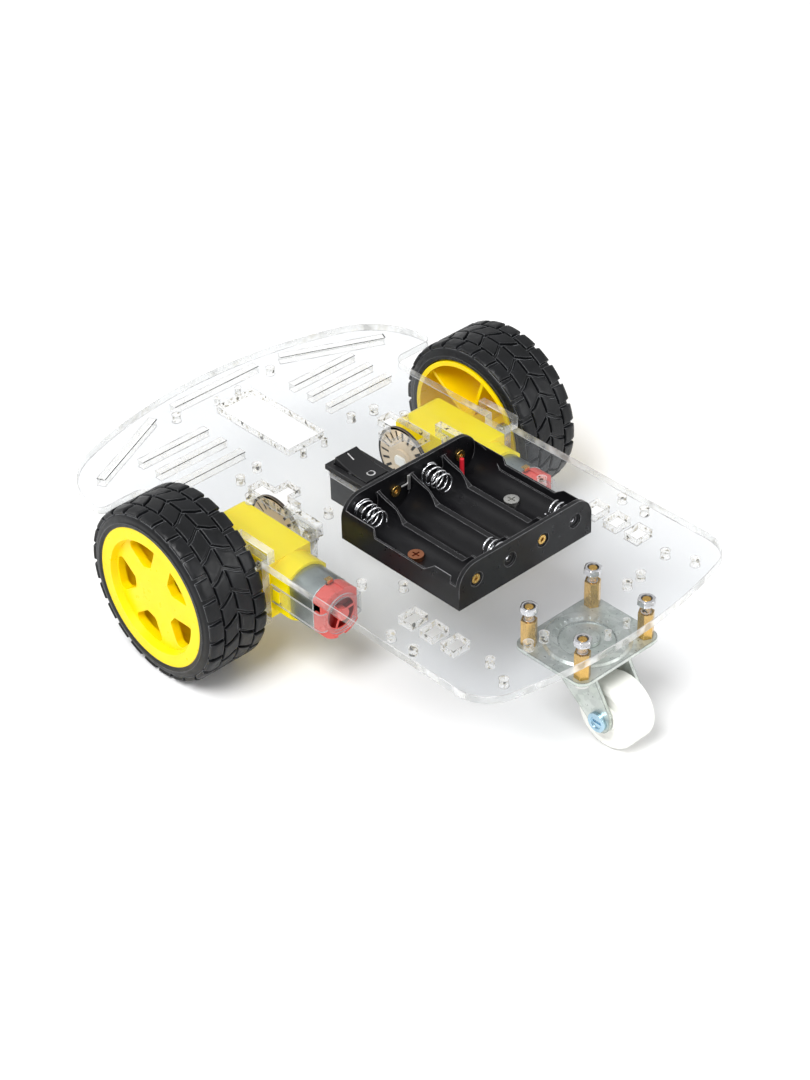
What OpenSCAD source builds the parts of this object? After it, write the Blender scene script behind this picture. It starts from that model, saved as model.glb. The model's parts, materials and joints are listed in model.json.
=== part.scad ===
// Two wheel robot car: clear chassis plate, two geared motors with wheels, caster, battery tray and switch.
// X points forward, Y to the left, Z up. The origin is on the ground under the middle of the car.

/* [Layout] */
// Distance of the drive axle ahead of the origin
axle_x = 34.5; // [34:0.5:35]
// Distance from the drive axle back to the caster's swivel axis
caster_back = 120.5; // [120:0.5:121]
// Height of the chassis plate's top above the ground
plate_top = 47; // [47:0.5:47.5]

/* [Chassis plate] */
// Thickness of the clear sheet
plate_t = 3; // [2.5:0.5:3]
// Distance from the axle to the front edge
front_reach = 78; // [76:1:80]
// Radius of the front edge
front_r = 170; // [165:5:175]
// Half of the width across the front wings
wing_half = 79; // [78:1:80]
// Radius of the wings' front corners
wing_corner_r = 30; // [28:1:32]
// Distance from the axle to the wings' rear edge
wing_rear = 36; // [35.5:0.5:36]
// Half of the width between the wheels
body_half = 59; // [59:0.5:59.5]
// Distance from the axle to the rear edge
rear_reach = 140; // [138:1:142]
// Radius of the rear edge
rear_r = 190; // [180:5:200]
// Radius of the rear corners
rear_corner_r = 14; // [12:1:16]
// Width of the long slots
slot_w = 3; // [2.5:0.5:3]
// Radius of the fastener holes
hole_r = 1.6; // [1.55:0.05:1.7]

/* [Wheels] */
// Outer radius of the tyre
tyre_r = 32.5; // [32:0.5:33]
// Distance from the middle of the car to the wheel's inner side
wheel_in = 61.3; // [61.2:0.1:61.5]
// Distance from the middle of the car to the tyre's outer side
wheel_out = 87.5; // [87:0.5:88]
// Radius of the rim under the tyre
rim_r = 25.8; // [25.6:0.1:26]
// Number of spokes in the rim
spokes = 5; // [5:1:6]

/* [Gearmotor] */
// Distance from the middle of the car to the gearbox's middle plane
box_y = 46.6; // [46.6:0.1:46.7]
// Half of the gearbox's width
box_half_w = 9.4; // [9.4:0.1:9.4]
// Half of the gearbox's height
box_half_h = 11.2; // [11.2:0.1:11.3]
// Distance from the axle to the gearbox's front face
box_front = 11.3; // [11.2:0.1:11.5]
// Distance from the axle back to the clamp holes
clamp_x = 21.3; // [21.2:0.1:21.4]
// Distance of each clamp hole from the axle's height
clamp_z = 8.75; // [8.7:0.05:8.8]
// Radius of the motor can
can_r = 10; // [10:0.1:10]
// Radius of the output shaft
shaft_r = 2.7; // [2.7:0.05:2.7]

/* [Gear train] */
// Teeth on the three small gears
small_teeth = 8; // [8:1:8]
// Teeth on the crown gear and the output gear
large_teeth = 32; // [32:1:32]
// Teeth on the idler's large gear
idler_teeth = 24; // [24:1:24]
// Tooth module of the motor's gear, the crown gear and the idler's large gear
fine_module = 0.45; // [0.45:0.05:0.45]
// Tooth module of the output gear and the idler's small gear
coarse_module = 0.5; // [0.5:0.05:0.5]

/* [Battery tray] */
// Length of the tray along the car
tray_l = 57; // [56:1:58]
// Width of the tray across the car
tray_w = 62; // [62:0.5:63]
// Height of the tray's end walls
tray_h = 16; // [15.5:0.5:16]
// Distance between neighbouring cells
cell_pitch = 15.3; // [15.2:0.1:15.3]
// Radius of a cell's bay
bay_r = 7.3; // [7.2:0.1:7.3]
// Distance from the axle back to the tray's middle
tray_back = 64; // [63:1:65]

/* [Switch] */
// Distance from the axle back to the switch's middle
switch_back = 11; // [11:0.5:12]
// Length of the bezel along the car
bezel_l = 21; // [21:0.5:21.5]
// Width of the bezel
bezel_w = 15; // [15:0.5:15.5]
// Tilt of the rocker each way from level
rocker_tilt = 10; // [8:1:10]

/* [Caster] */
// Radius of the caster's wheel
caster_r = 12.5; // [12:0.5:12.5]
// Distance from the swivel axis back to the wheel's axle
trail = 14; // [13.5:0.5:14]
// Length of the hex standoffs
standoff_l = 10; // [9.5:0.5:10.5]
// Distance between the standoffs along the car
standoff_x = 24; // [24:0.5:24.5]
// Distance between the standoffs across the car
standoff_y = 30; // [30:0.5:30.5]

/* [Hidden] */
$fn = 48;

clear = "#DDE6E8";
yellow = "#FFE100";
steel = "#B9BEC2";
brass = "#C79A3C";
black = "#1C1C1E";
rubber = "#2A2B2E";
nylon = "#F3F3EC";
red = "#D9382C";

eps = 0.01;
axle_z = tyre_r;
plate_under = plate_top - plate_t;
running = 0.05;

// Widths and places of the plate's openings, measured from the axle
bracket_t = 3;
bracket_out = box_y + box_half_w;
bracket_in = box_y - box_half_w - bracket_t;
stem_w = 10;
stem_gap = 0.1;
bar_w = 17;
bar_h = 5;
stem_foot = 20;
notch_r = 5;
wing_edge_r = 3;
window_l = 40;
window_w = 17;
window_x = 38;
encoder_in = 27.5;
encoder_out = 33.8;
encoder_half = 10.4;
tongue_half = 3.3;
tongue_in = 21.5;

// Fasteners, M3
m3_r = 1.5;
m3_head_r = 2.75;
m3_nut_r = 3.175;
m3_nut_h = 2.4;
nut_bore_r = 1.52;

// Gearbox
wall = 1.6;
wall_z = 1.4;
neck_end = 34.5;
neck_start = 26;
neck_r = 11.2;
neck_half_w = 8.8;
box_corner_r = 4.5;
can_front = 27;
can_end = 46;
can_flat = 7.5;
cap_end = 51.5;
cap_boss_end = 53;
terminal_end = 11.3;
bulkhead = 24.6;
lid_y = box_y + box_half_w - wall;
floor_y = box_y - box_half_w + wall;
pin_r = 0.75;
screw_x = 7.9;
screw_z = 7.8;
peg_x = 29.5;

// Gear train, in the plane of the gearbox with the output axle at its centre
out_r = coarse_module * large_teeth / 2;
fine_small_r = fine_module * small_teeth / 2;
coarse_small_r = coarse_module * small_teeth / 2;
idler_r = fine_module * idler_teeth / 2;
crown_r = fine_module * large_teeth / 2;
crown_x = -16.6;
idler_gap = idler_r + fine_small_r;
output_gap = out_r + coarse_small_r;
idler_u = (crown_x * crown_x + idler_gap * idler_gap - output_gap * output_gap) / (-2 * crown_x);
idler_x = crown_x + idler_u;
idler_z = -sqrt(idler_gap * idler_gap - idler_u * idler_u);
out_to_idler = atan2(idler_z, idler_x);
idler_to_crown = atan2(-idler_z, crown_x - idler_x);
low_layer = 39.2;
low_layer_top = 41.6;
idler_step = 41.9;
idler_top = 43.3;
crown_web = 43.6;
crown_pitch_y = box_y - fine_small_r;
tooth_out = 0.7;
tooth_in = 1.15;

// Encoder disc
encoder_r = 13;
encoder_y = 30;
encoder_t = 1;
encoder_slots = 20;
encoder_hub_r = 4.2;
shaft_in = 28.2;
shaft_out = 65;

// Rim
hub_r = 5;
hub_in = 57.2;
dish_y = 81.6;
dish_t = 2.9;
spoke_half_w = 4.4;
rim_window_in = 10.5;
rim_window_out = 20.3;
barrel_t = 1.8;
lip_y = 87;
flat_half = 1.85;

// Battery tray
end_wall = 1.6;
cell_z = 8.8;
tray_corner_r = 8;
cells = [1.5, 0.5, -0.5, -1.5] * cell_pitch;
far_end = [1, -1, 1, -1];
spring_wire = 0.35;
spring_r = 3.6;
spring_l = 9;
spring_turns = 4.5;
tray_screw_x = 1;
tray_screw_y = 22.5;

// Switch
switch_body_l = 18.8;
switch_body_w = 12.8;
switch_body_h = 13;
bezel_h = 2;
rocker_half_l = 8.2;
rocker_half_w = 5.1;
rocker_pivot = 1.5;
contact_pivot = -9;

// Caster
caster_t = 1.5;
caster_l = 32;
caster_w = 38;
caster_top = plate_under - standoff_l;
fork_top = caster_top - caster_t - 2;
fork_t = 1.4;
fork_gap = 7.2;
fork_disc_r = 13;
race_r = 10.5;
ball_r = 1.25;
ball_z = fork_top + 1;
kingpin_r = 2.5;
caster_wheel_w = 12;
caster_axle_r = 2;

function arc(c, r, a0, a1, n = 16) =
  [for (i = [0:n]) let (a = a0 + (a1 - a0) * i / n) c + r * [cos(a), sin(a)]];
function flip(points) = [for (i = [len(points) - 1:-1:0]) [points[i].x, -points[i].y]];

// A gear's outline: straight-sided teeth, narrower than their gaps, the first one on the X axis
function tooth(module_size, teeth, turn) =
  let (
    pitch = module_size * teeth / 2,
    root = pitch - tooth_in * module_size,
    tip = pitch + tooth_out * module_size,
    step = 180 / teeth
  )
  [for (p = [[root, -0.52], [pitch, -0.4], [tip, -0.2], [tip, 0.2], [pitch, 0.4], [root, 0.52]])
    p[0] * [cos(turn + p[1] * step), sin(turn + p[1] * step)]];
function gear_points(module_size, teeth, turn = 0) =
  [for (i = [0:teeth - 1]) each tooth(module_size, teeth, turn + 360 * i / teeth)];

module from_axle() translate([axle_x, 0, 0]) children();
module side(s) { if (s > 0) children(); else mirror([0, 1, 0]) children(); }

// Places a piece of one side in the frame of its wheel's axle
module at_axle(s) side(s) translate([axle_x, 0, axle_z]) children();

// Stands an outline of the XZ plane between two distances from the car's middle plane
module slab_y(y0, y1) translate([0, y1, 0]) rotate([90, 0, 0]) linear_extrude(y1 - y0) children();
module rod_y(r, y0, y1) translate([0, y1, 0]) rotate([90, 0, 0]) cylinder(r = r, h = y1 - y0);
module rod_x(r, x0, x1) translate([x0, 0, 0]) rotate([0, 90, 0]) cylinder(r = r, h = x1 - x0);
module box(low, high) translate(low) cube(high - low);

// A body of revolution around the wheel's axle, drawn as radius against distance from the middle
module revolve_y() rotate([-90, 0, 0]) rotate_extrude() children();

/* Chassis plate */
function plate_half() =
  let (
    front_c = [front_reach - front_r, 0],
    corner_y = wing_half - wing_corner_r,
    corner_x = front_c.x + sqrt(pow(front_r - wing_corner_r, 2) - corner_y * corner_y),
    front_a = atan2(corner_y, corner_x - front_c.x),
    rear_c = [rear_r - rear_reach, 0],
    rear_y = body_half - rear_corner_r,
    rear_x = rear_c.x - sqrt(pow(rear_r - rear_corner_r, 2) - rear_y * rear_y),
    rear_a = atan2(rear_y, rear_x - rear_c.x),
    notch_front = -clamp_x + stem_w / 2 + stem_gap,
    notch_rear = -clamp_x - stem_w / 2 - stem_gap
  )
  concat(
    arc(front_c, front_r, 0, front_a, 20),
    arc([corner_x, corner_y], wing_corner_r, front_a + 4, 90, 16),
    arc([wing_rear + wing_edge_r, wing_half - wing_edge_r], wing_edge_r, 100, 180, 6),
    arc([wing_rear - notch_r, body_half + notch_r], notch_r, 0, -90, 8),
    [[notch_front, body_half], [notch_front, bracket_out - stem_gap]],
    [[notch_rear, bracket_out - stem_gap], [notch_rear, body_half]],
    arc([rear_x, rear_y], rear_corner_r, 90, rear_a, 12),
    arc(rear_c, rear_r, rear_a + 1, 180, 14)
  );

module long_slots() {
  for (x = [49.5, 39.5, 29.2]) translate([x, 35.5]) square([slot_w, 30], center = true);
  translate([59.2, 48.9]) rotate(atan2(-37.2, 17.5)) square([41, slot_w], center = true);
}

module rear_windows() {
  for (x = [-83.3, -93.2, -103]) translate([x, 43]) square([6, 7.5], center = true);
}

// Round holes on both sides of the car, each [x, y, radius]
side_holes = [
  [64, 22.5, hole_r], [19, 22.5, hole_r], [17, 31.7, hole_r], [6, 36.6, hole_r], [-19.7, 23.1, hole_r],
  [14, 5, 1.1], [62, 5, 1.1], [-58, 42.5, hole_r], [-68.5, 33.4, hole_r],
  [-85.1, 54.4, hole_r], [-95.5, 54.4, hole_r], [-117, 41.2, hole_r], [-127, 45, hole_r],
  [-119.5, 26.4, hole_r], [-119.8, 19.6, hole_r], [-133.6, 4.4, 1.1],
  [tray_screw_x - tray_back, tray_screw_y, hole_r]
];

module chassis_plate() color(clear) from_axle() difference() {
  translate([0, 0, plate_under]) linear_extrude(plate_t) difference() {
    polygon(concat(plate_half(), flip(plate_half())));
    for (s = [0, 1]) mirror([0, s]) {
      long_slots();
      rear_windows();
      translate([-clamp_x, bracket_in + bracket_t / 2])
        square([stem_w + 2 * stem_gap, bracket_t + 2 * stem_gap], center = true);
      translate([0, (encoder_in + encoder_out) / 2])
        square([2 * encoder_half, encoder_out - encoder_in], center = true);
      translate([0, (encoder_in + tongue_in) / 2 + eps])
        square([2 * tongue_half, encoder_in - tongue_in], center = true);
    }
    translate([69.4, 0]) square([slot_w, 40], center = true);
    translate([window_x, 0]) square([window_l, window_w], center = true);
    translate([-switch_back, 0]) square([switch_body_l + 0.4, switch_body_w + 0.4], center = true);
  }
  for (s = [-1, 1], h = side_holes)
    translate([h[0], s * h[1], plate_under - 1]) cylinder(r = h[2], h = plate_t + 2);
  for (x = [-0.5, 0.5], y = [-0.5, 0.5])
    translate([x * standoff_x - caster_back, y * standoff_y, plate_under - 1])
      cylinder(r = hole_r, h = plate_t + 2);
}

/* Motor brackets */
module bracket(s, y0) color(clear) at_axle(s) difference() {
  slab_y(y0, y0 + bracket_t) translate([-clamp_x, 0]) {
    bar_low = plate_top - axle_z;
    translate([-bar_w / 2, bar_low]) square([bar_w, bar_h]);
    translate([-stem_w / 2, stem_foot - axle_z]) square([stem_w, bar_low - stem_foot + axle_z + eps]);
  }
  for (z = [-clamp_z, clamp_z]) translate([-clamp_x, 0, z]) rod_y(hole_r, y0 - 1, y0 + bracket_t + 1);
}

module each_clamp() for (s = [-1, 1], z = [-clamp_z, clamp_z]) at_axle(s) translate([-clamp_x, 0, z]) children();

module bracket_screws() color(steel) each_clamp() difference() {
  head_y = bracket_out + bracket_t;
  union() {
    rod_y(m3_r, head_y - 30, head_y + eps);
    rod_y(m3_head_r, head_y, head_y + 1.9);
  }
  for (a = [0, 90]) rotate([0, a, 0]) box([-1.6, head_y + 1, -0.3], [1.6, head_y + 2, 0.3]);
}

module bracket_nuts() color(steel) each_clamp() difference() {
  slab_y(bracket_in - m3_nut_h, bracket_in) circle(r = m3_nut_r, $fn = 6);
  rod_y(nut_bore_r, bracket_in - m3_nut_h - 1, bracket_in + 1);
}

/* Gearbox shells */
module box_outline(inset_x, inset_z, corner) polygon(concat(
  arc([box_front - inset_x - corner, box_half_h - inset_z - corner], corner, 0, 90, 8),
  [[-bulkhead + (inset_x > 0 ? 0 : bulkhead - neck_start), box_half_h - inset_z]],
  [[-bulkhead + (inset_x > 0 ? 0 : bulkhead - neck_start), -box_half_h + inset_z]],
  arc([box_front - inset_x - corner, -box_half_h + inset_z + corner], corner, -90, 0, 8)
));

// The can's outline, a circle with two flat sides, as a bar along X
module can_bar(r, flat, x0, x1) intersection() {
  translate([0, box_y, 0]) rod_x(r, x0, x1);
  box([x0 - 1, box_y - flat, -r - 1], [x1 + 1, box_y + flat, r + 1]);
}

module at_pins() {
  translate([idler_x, 0, idler_z]) children(0);
  translate([crown_x, 0, 0]) children(1);
}

module shell(y0, y1, inside0, inside1) difference() {
  union() {
    difference() {
      union() {
        slab_y(y0, y1) box_outline(0, 0, box_corner_r);
        intersection() {
          can_bar(neck_r, neck_half_w, -neck_end, -neck_start + eps);
          box([-neck_end - 1, y0, -20], [0, y1, 20]);
        }
      }
      slab_y(inside0, inside1) box_outline(wall, wall_z, box_corner_r - wall);
    }
    for (z = [-1, 1]) {
      translate([-clamp_x, 0, z * clamp_z]) rod_y(2.1, y0 + eps, y1 - eps);
      translate([screw_x, 0, z * screw_z]) rod_y(1.9, y0 + eps, y1 - eps);
    }
  }
  can_bar(can_r + running, can_flat + running, -neck_end - 1, -can_front);
  translate([0, box_y, 0]) rod_x(3.2, -can_front - 1, -bulkhead + 1);
  rod_y(shaft_r + running, y0 - 1, y1 + 1);
  for (z = [-1, 1]) translate([-clamp_x, 0, z * clamp_z]) rod_y(hole_r, y0 - 1, y1 + 1);
}

module gearbox_outer(s) color(yellow) at_axle(s) difference() {
  union() {
    shell(box_y, box_y + box_half_w, box_y - 1, lid_y);
    translate([crown_x, 0, 0]) rod_y(1.6, 46, lid_y + eps);
    box([-peg_x - 1.5, box_y + neck_half_w - eps, -2.2], [-peg_x + 1.5, box_y + neck_half_w + 1, 2.2]);
  }
  translate([crown_x, 0, 0]) rod_y(pin_r, 45, 54);
  for (z = [-1, 1]) translate([screw_x, 0, z * screw_z]) {
    rod_y(0.85, box_y - 1, 57);
    rod_y(1.75, bracket_out - 1.4, 57);
  }
}

module gearbox_inner(s) color(yellow) at_axle(s) difference() {
  union() {
    shell(box_y - box_half_w, box_y, floor_y, box_y + 1);
    difference() {
      union() {
        box([box_front - 0.5, box_y - 2.6, -3.5], [box_front + 2.5, box_y, 3.5]);
        translate([box_front + 2.5, 0, 0]) rod_y(3.5, box_y - 2.6, box_y);
      }
      translate([box_front + 2.5, 0, 0]) rod_y(hole_r, box_y - 4, box_y + 1);
    }
    box([-peg_x - 1.5, box_y - neck_half_w - 1, -2.2], [-peg_x + 1.5, box_y - neck_half_w + eps, 2.2]);
  }
  at_pins() {
    rod_y(pin_r, 38, floor_y + 1);
    rod_y(pin_r, 38, floor_y + 1);
  }
  for (z = [-1, 1]) translate([screw_x, 0, z * screw_z]) rod_y(0.7, 40, box_y + 1);
}

module gearbox_screws() color(steel)
  for (s = [-1, 1], z = [-1, 1]) at_axle(s) translate([screw_x, 0, z * screw_z]) difference() {
    union() {
      rod_y(0.7, 41, bracket_out - 1);
      rod_y(1.6, bracket_out - 1.4, bracket_out - 0.3);
    }
    box([-1.1, bracket_out - 0.8, -0.25], [1.1, bracket_out, 0.25]);
  }

module gear_pins() color(steel) for (s = [-1, 1]) at_axle(s) at_pins() {
  rod_y(pin_r, 38, idler_top + 0.1);
  rod_y(pin_r, 38, 54);
}

/* Gears */
module gear(module_size, teeth, turn, y0, y1) slab_y(y0, y1) polygon(gear_points(module_size, teeth, turn));

module output_gear(s) color(nylon) at_axle(s) difference() {
  gear(coarse_module, large_teeth, out_to_idler, low_layer, low_layer_top);
  rod_y(shaft_r, low_layer - 1, low_layer_top + 1);
}

module idler_gear(s) color(nylon) at_axle(s) translate([idler_x, 0, idler_z]) difference() {
  union() {
    gear(coarse_module, small_teeth, out_to_idler + 180 + 180 / small_teeth, low_layer, idler_step + eps);
    gear(fine_module, idler_teeth, idler_to_crown, idler_step, idler_top);
  }
  rod_y(pin_r + running, low_layer - 1, idler_top + 1);
}

// Teeth on the crown gear's face, each a bar that narrows upwards
module crown_tooth(turn) rotate([0, -turn, 0]) translate([crown_r - 0.65, 0, 0])
  rotate([90, 0, 90]) linear_extrude(0.9) polygon([
    [crown_pitch_y - 0.6, -0.3], [crown_pitch_y, -0.24], [crown_pitch_y + 0.3, -0.14],
    [crown_pitch_y + 0.3, 0.14], [crown_pitch_y, 0.24], [crown_pitch_y - 0.6, 0.3]
  ]);

module crown_gear(s) color(nylon) at_axle(s) translate([crown_x, 0, 0]) difference() {
  union() {
    gear(fine_module, small_teeth, idler_to_crown + 180 + 180 / small_teeth, idler_step, crown_web + eps);
    rod_y(crown_r + 0.25, crown_web, crown_pitch_y - 0.5);
    for (i = [0:large_teeth - 1]) crown_tooth(180 + 360 * (i + 0.5) / large_teeth);
  }
  rod_y(pin_r + running, idler_step - 1, crown_pitch_y + 1);
}

module motor_pinion(s) color(brass) at_axle(s) translate([-24.9, box_y, 0]) difference() {
  rotate([90, 0, 90]) linear_extrude(2.6) polygon(gear_points(fine_module, small_teeth, 180));
  rod_x(1, -1, 4);
}

module motor_rotor(s) color(steel) at_axle(s) translate([0, box_y, 0]) {
  rod_x(1, -52.4, -22.2);
  rod_x(2.2, -48, -44);
  difference() {
    rod_x(6.3, -41, -31);
    for (a = [60:120:300]) rotate([a, 0, 0]) box([-42, 2.6, -0.8], [-30, 7, 0.8]);
    for (a = [60:120:300]) rotate([a, 0, 0]) box([-42, 2.6, -2.2], [-30, 5, 2.2]);
  }
}

module output_shaft(s) color(nylon) at_axle(s) difference() {
  rod_y(shaft_r, shaft_in, shaft_out);
  for (z = [-1, 1]) {
    box([-4, bracket_out + 0.6, z > 0 ? flat_half : -4], [4, shaft_out + 1, z > 0 ? 4 : -flat_half]);
    box([-4, shaft_in - 1, z > 0 ? flat_half : -4], [4, bracket_in + 2, z > 0 ? 4 : -flat_half]);
  }
}

// The output shaft's hole in what it turns, round with two flats
module shaft_hole(y0, y1) intersection() {
  rod_y(shaft_r, y0, y1);
  box([-4, y0 - 1, -flat_half], [4, y1 + 1, flat_half]);
}

module encoder_disc(s) color("#8A7A66") at_axle(s) difference() {
  union() {
    rod_y(encoder_r, encoder_y, encoder_y + encoder_t);
    rod_y(encoder_hub_r, encoder_y - 1, encoder_y + 4);
  }
  shaft_hole(encoder_y - 2, encoder_y + 5);
  for (i = [0:encoder_slots - 1]) rotate([0, 360 * i / encoder_slots, 0])
    box([7.6, encoder_y - 0.5, -0.55], [11.6, encoder_y + encoder_t + 0.5, 0.55]);
}

/* Motors */
module motor_can(s) color(steel) at_axle(s) difference() {
  union() {
    can_bar(can_r, can_flat, -can_end, -can_front);
    translate([0, box_y, 0]) rod_x(3, -can_front - eps, -25.4);
  }
  can_bar(can_r - 0.7, can_flat - 0.7, -can_end - 1, -can_front - 0.8);
  translate([0, box_y, 0]) rod_x(1 + running, -30, -20);
}

module motor_cap(s) color(red) at_axle(s) difference() {
  union() {
    can_bar(can_r - 0.2, can_flat - 0.2, -cap_end, -can_end);
    translate([0, box_y, 0]) rod_x(2.4, -cap_boss_end, -cap_end + eps);
  }
  can_bar(can_r - 1.8, can_flat - 1.4, -cap_end + 2.2, -can_end + 1);
  translate([0, box_y, 0]) rod_x(1 + running, -52.6, -40);
  translate([0, box_y, 0]) difference() {
    rod_x(5.8, -cap_end - 1, -cap_end + 1.6);
    rod_x(2.4, -cap_end - 2, -cap_end + 2);
    for (a = [53, 173, 293]) rotate([a, 0, 0]) box([-cap_end - 2, 0, -0.5], [-cap_end + 3, 7, 0.5]);
  }
  for (z = [-1, 1]) {
    box([-cap_end - 1, box_y - 1.6, z > 0 ? can_r - 1.1 : -can_r - 1], [-can_end + 1, box_y + 1.6, z > 0 ? can_r + 1 : -can_r + 1.1]);
    box([-can_end - 3.4, box_y + z * can_flat - 2, 1.2], [-can_end + 1, box_y + z * can_flat + 2, 5]);
  }
}

module motor_magnets() color("#4A4A4C")
  for (s = [-1, 1], z = [-1, 1]) at_axle(s) intersection() {
    difference() {
      can_bar(can_r - 0.75, can_flat - 0.9, -43.5, -29);
      translate([0, box_y, 0]) rod_x(7.4, -45, -28);
    }
    box([-50, box_y - 7, z > 0 ? 5.5 : -10], [-20, box_y + 7, z > 0 ? 10 : -5.5]);
  }

module motor_terminals() color(brass)
  for (s = [-1, 1], z = [-1, 1]) at_axle(s) translate([0, box_y, 0]) {
    box([-46.9, -1.2, z > 0 ? can_r - 0.1 : -terminal_end], [-46.4, 1.2, z > 0 ? terminal_end : -can_r + 0.1]);
    box([-46.4 - eps, -1.2, z > 0 ? terminal_end - 0.4 : -terminal_end], [-44.9, 1.2, z > 0 ? terminal_end : 0.4 - terminal_end]);
  }

// A clear band from peg to peg around the back of the motor
module strap_line(grow) polygon(concat(
  [[-peg_x + 2.8, box_y + neck_half_w + 0.1 + grow]],
  arc([-cap_end + 1.2, box_y + neck_half_w - 1.4], 1.5 + grow, 90, 180, 6),
  arc([-cap_end + 1.2, box_y - neck_half_w + 1.4], 1.5 + grow, 180, 270, 6),
  [[-peg_x + 2.8, box_y - neck_half_w - 0.1 - grow]]
));

module motor_strap(s) color(clear) at_axle(s) difference() {
  union() {
    translate([0, 0, -3.6]) linear_extrude(7.2) difference() {
      strap_line(0.7);
      translate([0.02, 0]) strap_line(0);
    }
    translate([0, box_y, 0]) rod_x(7.6, -cap_end - 1, -cap_end - 0.3);
  }
  for (y = [-1, 1]) translate([-peg_x, box_y + y * (neck_half_w + 0.4), 0])
    cube([3.4, 2, 4.8], center = true);
  translate([0, box_y, 0]) rod_x(6.1, -56, -50);
}

/* Wheels */
module tyre(s) color(rubber) at_axle(s) revolve_y() polygon(concat(
  [[rim_r, wheel_in + 0.8], [rim_r + 0.4, wheel_in]],
  [[tyre_r - 3.5, wheel_in]],
  arc([tyre_r - 3.5, wheel_in + 3], 3, -80, -10, 5),
  [[tyre_r - 0.3, wheel_in + 7], [tyre_r - 1.6, wheel_in + 7.4], [tyre_r - 1.6, wheel_in + 8.6]],
  [[tyre_r, wheel_in + 9], [tyre_r, wheel_out - 9]],
  [[tyre_r - 1.6, wheel_out - 8.6], [tyre_r - 1.6, wheel_out - 7.4], [tyre_r - 0.3, wheel_out - 7]],
  arc([tyre_r - 3.5, wheel_out - 3], 3, 10, 80, 5),
  [[tyre_r - 3.5, wheel_out], [rim_r + 0.6, wheel_out], [rim_r + 0.5, lip_y - 1.2], [rim_r, lip_y - 1.3]]
));

// Centre of a rounded corner lying on a circle and touching a spoke's edge
function spoke_corner(radius, corner_r) =
  let (a = 180 / spokes - asin((spoke_half_w + corner_r) / radius)) radius * [cos(a), sin(a)];

module rim_window() polygon(let (
  out = spoke_corner(rim_window_out - 2.2, 2.2),
  in = spoke_corner(rim_window_in + 1.5, 1.5),
  a = atan(out.y / out.x),
  b = 90 + 180 / spokes
) concat(
  arc([0, 0], rim_window_out, -a, a, 6),
  arc(out, 2.2, a, b, 6),
  arc(in, 1.5, b, 180, 4),
  arc([in.x, -in.y], 1.5, 180, 360 - b, 4),
  arc([out.x, -out.y], 2.2, 360 - b, 360 - a, 6)
));

module rim(s) color(yellow) at_axle(s) difference() {
  dish_front = dish_y + dish_t;
  union() {
    revolve_y() polygon([
      [rim_r - barrel_t, wheel_in], [rim_r, wheel_in], [rim_r, lip_y - 1.2], [rim_r + 0.4, lip_y - 1.2],
      [rim_r + 0.4, lip_y], [rim_r - 4.2, lip_y], [rim_r - 5, dish_front], [0, dish_front + 0.5],
      [0, dish_y], [rim_r - barrel_t, dish_y]
    ]);
    rod_y(hub_r, hub_in, dish_y + 1);
    for (i = [0:spokes - 1]) rotate([0, (i + 0.5) * 360 / spokes, 0])
      box([hub_r - 1, 64, -0.7], [rim_r - barrel_t + 0.4, dish_y + 0.5, 0.7]);
  }
  for (i = [0:spokes - 1]) rotate([0, i * 360 / spokes, 0]) slab_y(dish_y - 1, lip_y) rim_window();
  shaft_hole(hub_in - 1, shaft_out + 0.3);
}

/* Battery tray */
module at_tray() translate([axle_x - tray_back, 0, plate_top]) children();

module tray_end_outline() polygon(concat(
  [[-tray_w / 2, 0], [tray_w / 2, 0]],
  arc([tray_w / 2 - tray_corner_r, tray_h - tray_corner_r], tray_corner_r, 0, 90, 10),
  arc([-tray_w / 2 + tray_corner_r, tray_h - tray_corner_r], tray_corner_r, 90, 180, 10)
));

module battery_tray() color(black) at_tray() difference() {
  inner = tray_l / 2 - end_wall;
  wall_in = cells[0] + bay_r - 0.15;
  rotate([90, 0, 90]) translate([0, 0, -tray_l / 2]) linear_extrude(tray_l) tray_end_outline();
  for (y = cells) {
    translate([0, y, cell_z]) rod_x(bay_r, -inner, inner);
    box([-inner + 0.02, y - bay_r + 0.2, cell_z], [inner - 0.02, y + bay_r - 0.2, tray_h + 2]);
  }
  slab_y(-wall_in, wall_in) polygon([
    [-inner, tray_h + 1], [-inner, 9.2], [-18.5, 9.2], [-15, 5.6], [14, 5.6], [18, 9.5], [inner - 2, 11.5],
    [inner, 12.5], [inner, tray_h + 1]
  ]);
  for (s = [-1, 1]) side(s) slab_y(wall_in - 1, tray_w / 2 + 1) polygon([
    [-inner, tray_h + 1], [-inner, 9], [-inner + 2.6, 9], [-inner + 3, 12], [-inner + 10, 12], [-inner + 15, 8.4],
    [inner - 15, 8.4], [inner - 14, 12], [inner - 6, 12], [inner - 2, tray_h + 1]
  ]);
  for (i = [0:3], e = [-1, 1]) translate([e * tray_l / 2, cells[i], cell_z]) {
    rod_x(1.15, -3, 3);
    rod_x(2.75, e > 0 ? -0.8 : -1, e > 0 ? 1 : 0.8);
  }
  for (s = [-1, 1]) translate([tray_screw_x, s * tray_screw_y, 0]) {
    translate([0, 0, -1]) cylinder(r = hole_r, h = 4);
    translate([0, 0, 1.65]) cylinder(r = m3_head_r + 0.25, h = 3);
  }
  translate([inner - 3.2, cells[3] + 2, -1]) cylinder(r = 1, h = 4);
}

function spring_point(t) =
  let (a = 360 * spring_turns * t, r = spring_r - 0.6 * t) [spring_l * t, r * cos(a), r * sin(a)];

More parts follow.
